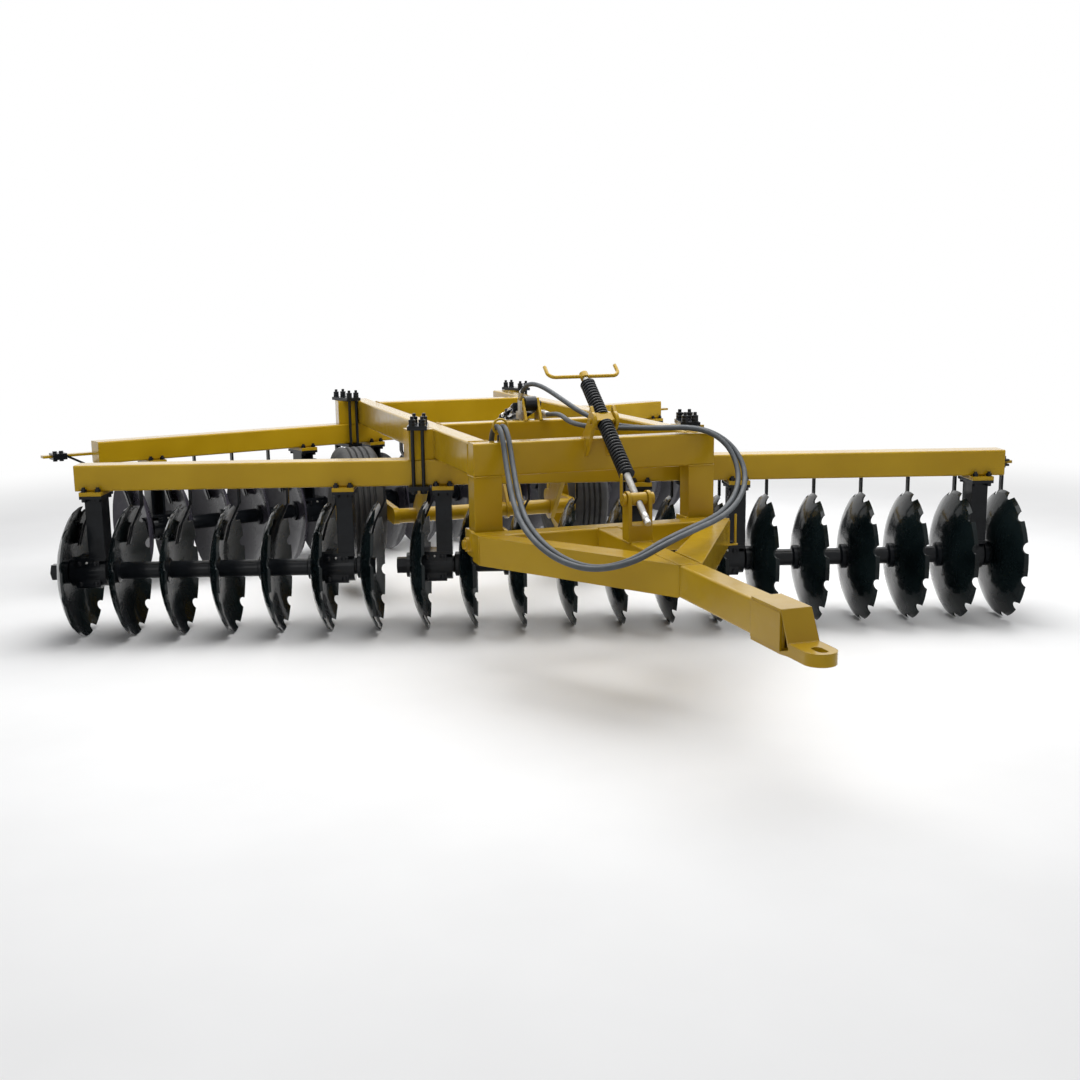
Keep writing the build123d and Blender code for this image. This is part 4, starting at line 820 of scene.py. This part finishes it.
gland = lathe(((GLAND_IN, 0.448), (GLAND_R, 0.448), (GLAND_R, 0.466), (0.0458, 0.468),
               (0.0458, 0.472), (GLAND_R, 0.474), (GLAND_R, 0.481), (0.0455, 0.484),
               (0.0300, 0.484), (0.0300, 0.489), (0.0240, 0.490), (GLAND_IN, 0.486),
               (GLAND_IN, 0.448)), 48)
gland.matrix_world = along_barrel
hand_over(gland, "cylinder_gland", "cylinder_barrel", "steel")

# %% [markdown]
# ## Hinge cheeks
# The drawbar turns on pins between pairs of cheek plates, one pair beside each leg. The plates
# are as high as the tube they are welded to, and only their rear corners are cut round. A cube is
# scaled to a plate, its two rear edges are chosen by where they lie, and Bevel rounds them.

# %% Hinge cheeks
CHEEK = (0.0156, 0.112, 0.088)
CHEEK_ROUND = 0.02
CHEEKS_X = (-555.5, -414.5, 414.5, 555.5)
CHEEK_BEHIND = 36
CHEEK_Z = 543

cheek = block(CHEEK)
bpy.ops.object.mode_set(mode="EDIT")
bpy.ops.mesh.select_mode(type="EDGE")
bpy.ops.mesh.select_all(action="DESELECT")
bpy.ops.object.mode_set(mode="OBJECT")
for edge in cheek.data.edges:
    a, b = [cheek.data.vertices[index].co for index in edge.vertices]
    edge.select = min(a.y, b.y) > 0 and abs(a.z - b.z) < 0.001
bpy.ops.object.mode_set(mode="EDIT")
bpy.ops.mesh.bevel(offset=CHEEK_ROUND, segments=6)
bpy.ops.mesh.select_mode(type="VERT")
bpy.ops.object.mode_set(mode="OBJECT")
bevel(0.0016)
spots = [standing(at(x, CHEEK_BEHIND, CHEEK_Z)) for x in CHEEKS_X]
hand_over(copies(cheek, spots), "hinge_cheeks", "drawbar", "yellow_paint", 30)

# %% [markdown]
# ## Side rod
# A thin rod stands on a small foot at the right end of the drawbar's cross tube. The foot is a
# cube scaled to a plate and bevelled, since a flat bar is quicker made from a block than drawn.

# %% Side rod
FOOT = (0.046, 0.026, 0.008)
FOOT_AT = (584, -108, 471)
UPRIGHT_AT = (600, -108, 474)
UPRIGHT_R = 0.0055
UPRIGHT_L = 0.130
FOOT_NUT_AT = (580, -108, 475)

foot = block(FOOT, at(*FOOT_AT))
bevel(0.0015)
upright = lathe(((0, 0), (UPRIGHT_R, 0), (UPRIGHT_R, 0.126), (0.0040, UPRIGHT_L),
                 (0, UPRIGHT_L)), 16)
upright.location = at(*UPRIGHT_AT)
hand_over(join([foot, upright]), "side_rod", "drawbar", "yellow_paint")
foot_nut = nut(0.019, 0.010)
foot_nut.location = at(*FOOT_NUT_AT)
hand_over(foot_nut, "side_rod_nut", "drawbar", "black_paint")

# %% [markdown]
# ## Bearing housings
# Every gang hangs in cast housings between two of its discs. Small hexagon screws hold a cover
# on either side, and a grease nipple above its middle lets the bearing be filled. They are too
# small for the frame, yet without them a housing reads as a plain block.

# %% Screws and nipples on the housings
DISC_R = 0.305
PITCH = 0.230
HOUSING_OFFSET = 0.112
HOUSING_HALF = 0.064
SCREW_S = 0.036
SCREW_Z = 0.048
NIPPLE_Z = 0.052
# the rear gang is counted from its other end: turn, flat of the first disc, discs on each rotor
GANGS = {"front": (0, -2.288, (7, 6, 7)), "rear": (180, -1.980, (6, 6, 6))}


def hanger_flats(first, rotors):
    """Places along a gang of the disc before each hanger, two on each rotor."""
    flats, index = [], 0
    for count in rotors:
        flats += [first + PITCH * index, first + PITCH * (index + count - 2)]
        index += count
    return flats


def on_housing(gang, flat, face, s, z):
    """Matrix of a spot on one face of a housing, s along the gang and z up from its middle."""
    place = (flat + HOUSING_OFFSET + s, face * HOUSING_HALF, DISC_R + z)
    return gang @ standing(place, (0, face, 0))


screw_spots, nipple_spots = [], []
for end, (turn, first, rotors) in GANGS.items():
    # along the gang is X, across it Y, and it crosses the middle line at the origin
    gang = turned_place(middle, gang_line(end)[0], GANG_TURNS[end] + turn)
    for flat in hanger_flats(first, rotors):
        for face in (-1, 1):
            screw_spots += [on_housing(gang, flat, face, s, z)
                            for s in (-SCREW_S, SCREW_S) for z in (-SCREW_Z, SCREW_Z)]
            nipple_spots.append(on_housing(gang, flat, face, 0, NIPPLE_Z))
head = join([washer(0.0125, 0.0022), nut(0.019, 0.0095, 0.0022)])
hand_over(copies(head, screw_spots), "housing_screws", "frame", "black_paint")
nipple = lathe(((0, 0), (0.0055, 0), (0.0055, 0.004), (0.0032, 0.005), (0.0032, 0.009),
                (0.0042, 0.011), (0.0042, 0.0135), (0.0022, 0.0155), (0, 0.0155)), 12)
hand_over(copies(nipple, nipple_spots), "grease_nipples", "frame", "steel")

# %% [markdown]
# ## Weld beads
# Tubes and plates are welded, and a bead runs along every joint: a row of overlapping scales.
# Turned on the lathe it is a wavy rod, half of which sinks into the corner. One rod is drawn
# for each length that occurs, so the scales keep their size on long and short seams alike.

# %% Weld beads
BEAD_R = 0.0042
BEAD_LOW = 0.72                  # radius between two scales, as a share
SCALE = 0.0062
# all in millimetres, and all but the clamp's step from the middle line
RAIL_OUT = 545
RAIL_IN = 455
LEG_IN = 425
CLAMP_STEP = 59                  # from a clamp's middle to the edge of its post
ARM_OUT = 563                    # the two sides of an arm's foot
ARM_IN = 451
SPINE = 45                       # a side of the spine


def bead(length):
    """A rod of overlapping scales of this length."""
    count = max(2, int(length / SCALE))
    step = length / count
    rows = [(0, 0)]
    for k in range(count):
        rows += [(BEAD_R * BEAD_LOW, step * (k + 0.08)), (BEAD_R, step * (k + 0.62))]
    return lathe(rows + [(0, length)], 8)


def seams(name, body, rows):
    """Beads from rows of two ends, each (X from the middle line, behind, height) in millimetres."""
    beads = []
    for start, end in rows:
        a, b = at(*start), at(*end)
        piece = bead((b - a).length)
        piece.matrix_world = standing(a, b - a)
        beads.append(piece)
    hand_over(join(beads), name, body, "yellow_paint", 50)


def upright_seam(x, distance, low, high):
    return (x, distance, low), (x, distance, high)


frame_rows = []
for side in (-1, 1):
    outer, inner, leg = side * RAIL_OUT, side * RAIL_IN, side * LEG_IN
    # a leg under the front beam, and that beam between the rails
    frame_rows += [
        ((outer, 0, 810), (leg, 0, 810)), ((outer, 90, 810), (leg, 90, 810)),
        ((outer, 0, 810), (outer, 90, 810)), ((leg, 0, 810), (leg, 90, 810)),
        upright_seam(outer, 90, 815, 945), upright_seam(inner, 90, 815, 945),
        ((inner, 90, 950), (outer, 90, 950)),
    ]
    # the middle and the rear cross beam
    for near, far in ((915, 1005), (2460, 2550)):
        frame_rows += [upright_seam(inner, near, 815, 945), upright_seam(inner, far, 815, 945),
                       ((inner, near, 950), (inner, far, 950))]
    # both faces of a screw ear, along the top of the front beam and down its front
    for x in (42, 56):
        frame_rows += [((side * x, 2, 950), (side * x, 46, 950)),
                       upright_seam(side * x, 0, 872, 948)]
# both faces of the two cylinder ears
for x in (-31, -17, 47, 61):
    frame_rows.append(((x, 916, 950), (x, 1004, 950)))
for here in clamp_spots:
    spot = here.translation
    outer = RAIL_OUT if spot.x > middle else -RAIL_OUT
    distance = (spot.y - FRONT) * 1000
    frame_rows += [upright_seam(outer, distance + step, 815, 945)
                   for step in (-CLAMP_STEP, CLAMP_STEP)]
seams("frame_welds", "frame", frame_rows)

drawbar_rows = [
    ((-SPINE, -940, 585), (SPINE, -940, 585)),
    upright_seam(-SPINE, -940, 470, 580), upright_seam(SPINE, -940, 470, 580),
    ((-SPINE, -1500, 585), (SPINE, -1500, 585)),
    # the fork that holds the screw's nut
    ((-50, -407, 585), (50, -407, 585)), ((-50, -473, 585), (50, -473, 585)),
    ((-50, -473, 585), (-50, -407, 585)), ((50, -473, 585), (50, -407, 585)),
    ((-36, -473, 650), (-36, -407, 650)), ((36, -473, 650), (36, -407, 650)),
]
for side in (-1, 1):
    outer, inner, spine = side * ARM_OUT, side * ARM_IN, side * SPINE
    drawbar_rows += [
        ((outer, -121, 585), (inner, -121, 585)), upright_seam(outer, -121, 470, 580),
        upright_seam(inner, -121, 470, 580), upright_seam(spine, -706, 470, 580),
        upright_seam(spine, -1500, 470, 580), ((spine, -1680, 585), (spine, -1500, 585)),
        ((spine, -1680, 465), (spine, -1500, 465)),
        ((spine, -121, 585), (-spine, -121, 585)), ((spine, -935, 585), (spine, -706, 585)),
    ]
seams("drawbar_welds", "drawbar", drawbar_rows)

# %% [markdown]
# ## Wheels
# The transport tyres have four grooves between five ribs, rounded shoulders, a bead wall that
# turns in to the rim, and raised rings on their sides where the mould halves met. All of that
# is one profile. It is drawn as radius over width and stood on the axle.

# %% Tyres
TYRE_HALF = 0.110
TYRE_R = 0.325
BEAD_SEAT = 0.205
BEAD_HALF = 0.082
TREAD_HALF = 0.076
RIBS = 5
RIB_EDGE = 0.0025
GROOVE_DEPTH = 0.0105
GROOVE_W = 0.0125

side_wall = [(BEAD_SEAT, BEAD_HALF), (BEAD_SEAT + 0.008, 0.087), (BEAD_SEAT + 0.016, 0.088),
             (BEAD_SEAT + 0.020, 0.094), (BEAD_SEAT + 0.040, 0.104), (BEAD_SEAT + 0.044, 0.107),
             (BEAD_SEAT + 0.048, 0.1065), (BEAD_SEAT + 0.062, TYRE_HALF),
             (BEAD_SEAT + 0.076, TYRE_HALF - 0.0002), (TYRE_R - 0.032, 0.106),
             (TYRE_R - 0.022, 0.101), (TYRE_R - 0.010, 0.091), (TYRE_R - 0.002, 0.079)]
tread = []
for k in range(RIBS - 1, 0, -1):
    h = -TREAD_HALF + 2 * TREAD_HALF / RIBS * k
    half = [(TYRE_R, GROOVE_W / 2 + RIB_EDGE), (TYRE_R - RIB_EDGE, GROOVE_W / 2),
            (TYRE_R - GROOVE_DEPTH, GROOVE_W / 4)]
    tread += [(radius, h + off) for radius, off in half]
    tread += [(radius, h - off) for radius, off in reversed(half)]
tyre_rows = side_wall + tread + [(radius, -h) for radius, h in reversed(side_wall)]
tyre_rows += [(BEAD_SEAT, BEAD_HALF)]
for side in ("left", "right"):
    tyre = lathe(tyre_rows, 96)
    tyre.matrix_world = standing(joints[f"wheel_{side}_spin"]["pos_m"], (1, 0, 0))
    hand_over(tyre, f"ribbed_tyre_{side}", f"wheel_{side}", "tyre", 40)
    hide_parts(f"tyre_{side}")

# %% [markdown]
# Six nuts on a circle hold each rim, each on the end of its stud, and a shallow pressed cap
# covers the hub. The two sides differ only in which way is out.

# %% Wheel nuts and hub caps
STUDS = 6
STUD_CIRCLE = 0.098
RIM_FACE = 0.029                 # from the wheel's middle
HUB_FACE = 0.0665

for side, sign in (("left", -1), ("right", 1)):
    hub = Vector(joints[f"wheel_{side}_spin"]["pos_m"])
    out = Vector((sign, 0, 0))
    parts = []
    for k in range(STUDS):
        turn = 2 * pi * k / STUDS
        place = hub + out * RIM_FACE + Vector((0, cos(turn), sin(turn))) * STUD_CIRCLE
        stud_end = raised(washer(0.0075, 0.008), 0.017)
        stud = join([washer(0.017, 0.003), nut(0.024, 0.014, 0.003), stud_end])
        stud.matrix_world = standing(place, out, turn)
        parts.append(stud)
    hand_over(join(parts), f"wheel_nuts_{side}", f"wheel_{side}", "steel")
    cap = lathe(((0, 0), (0.052, 0), (0.052, 0.004), (0.044, 0.006), (0.042, 0.017),
                 (0.034, 0.024), (0, 0.027)), 32)
    cap.matrix_world = standing(hub + out * HUB_FACE, out)
    hand_over(cap, f"hub_cap_{side}", f"wheel_{side}", "yellow_paint")
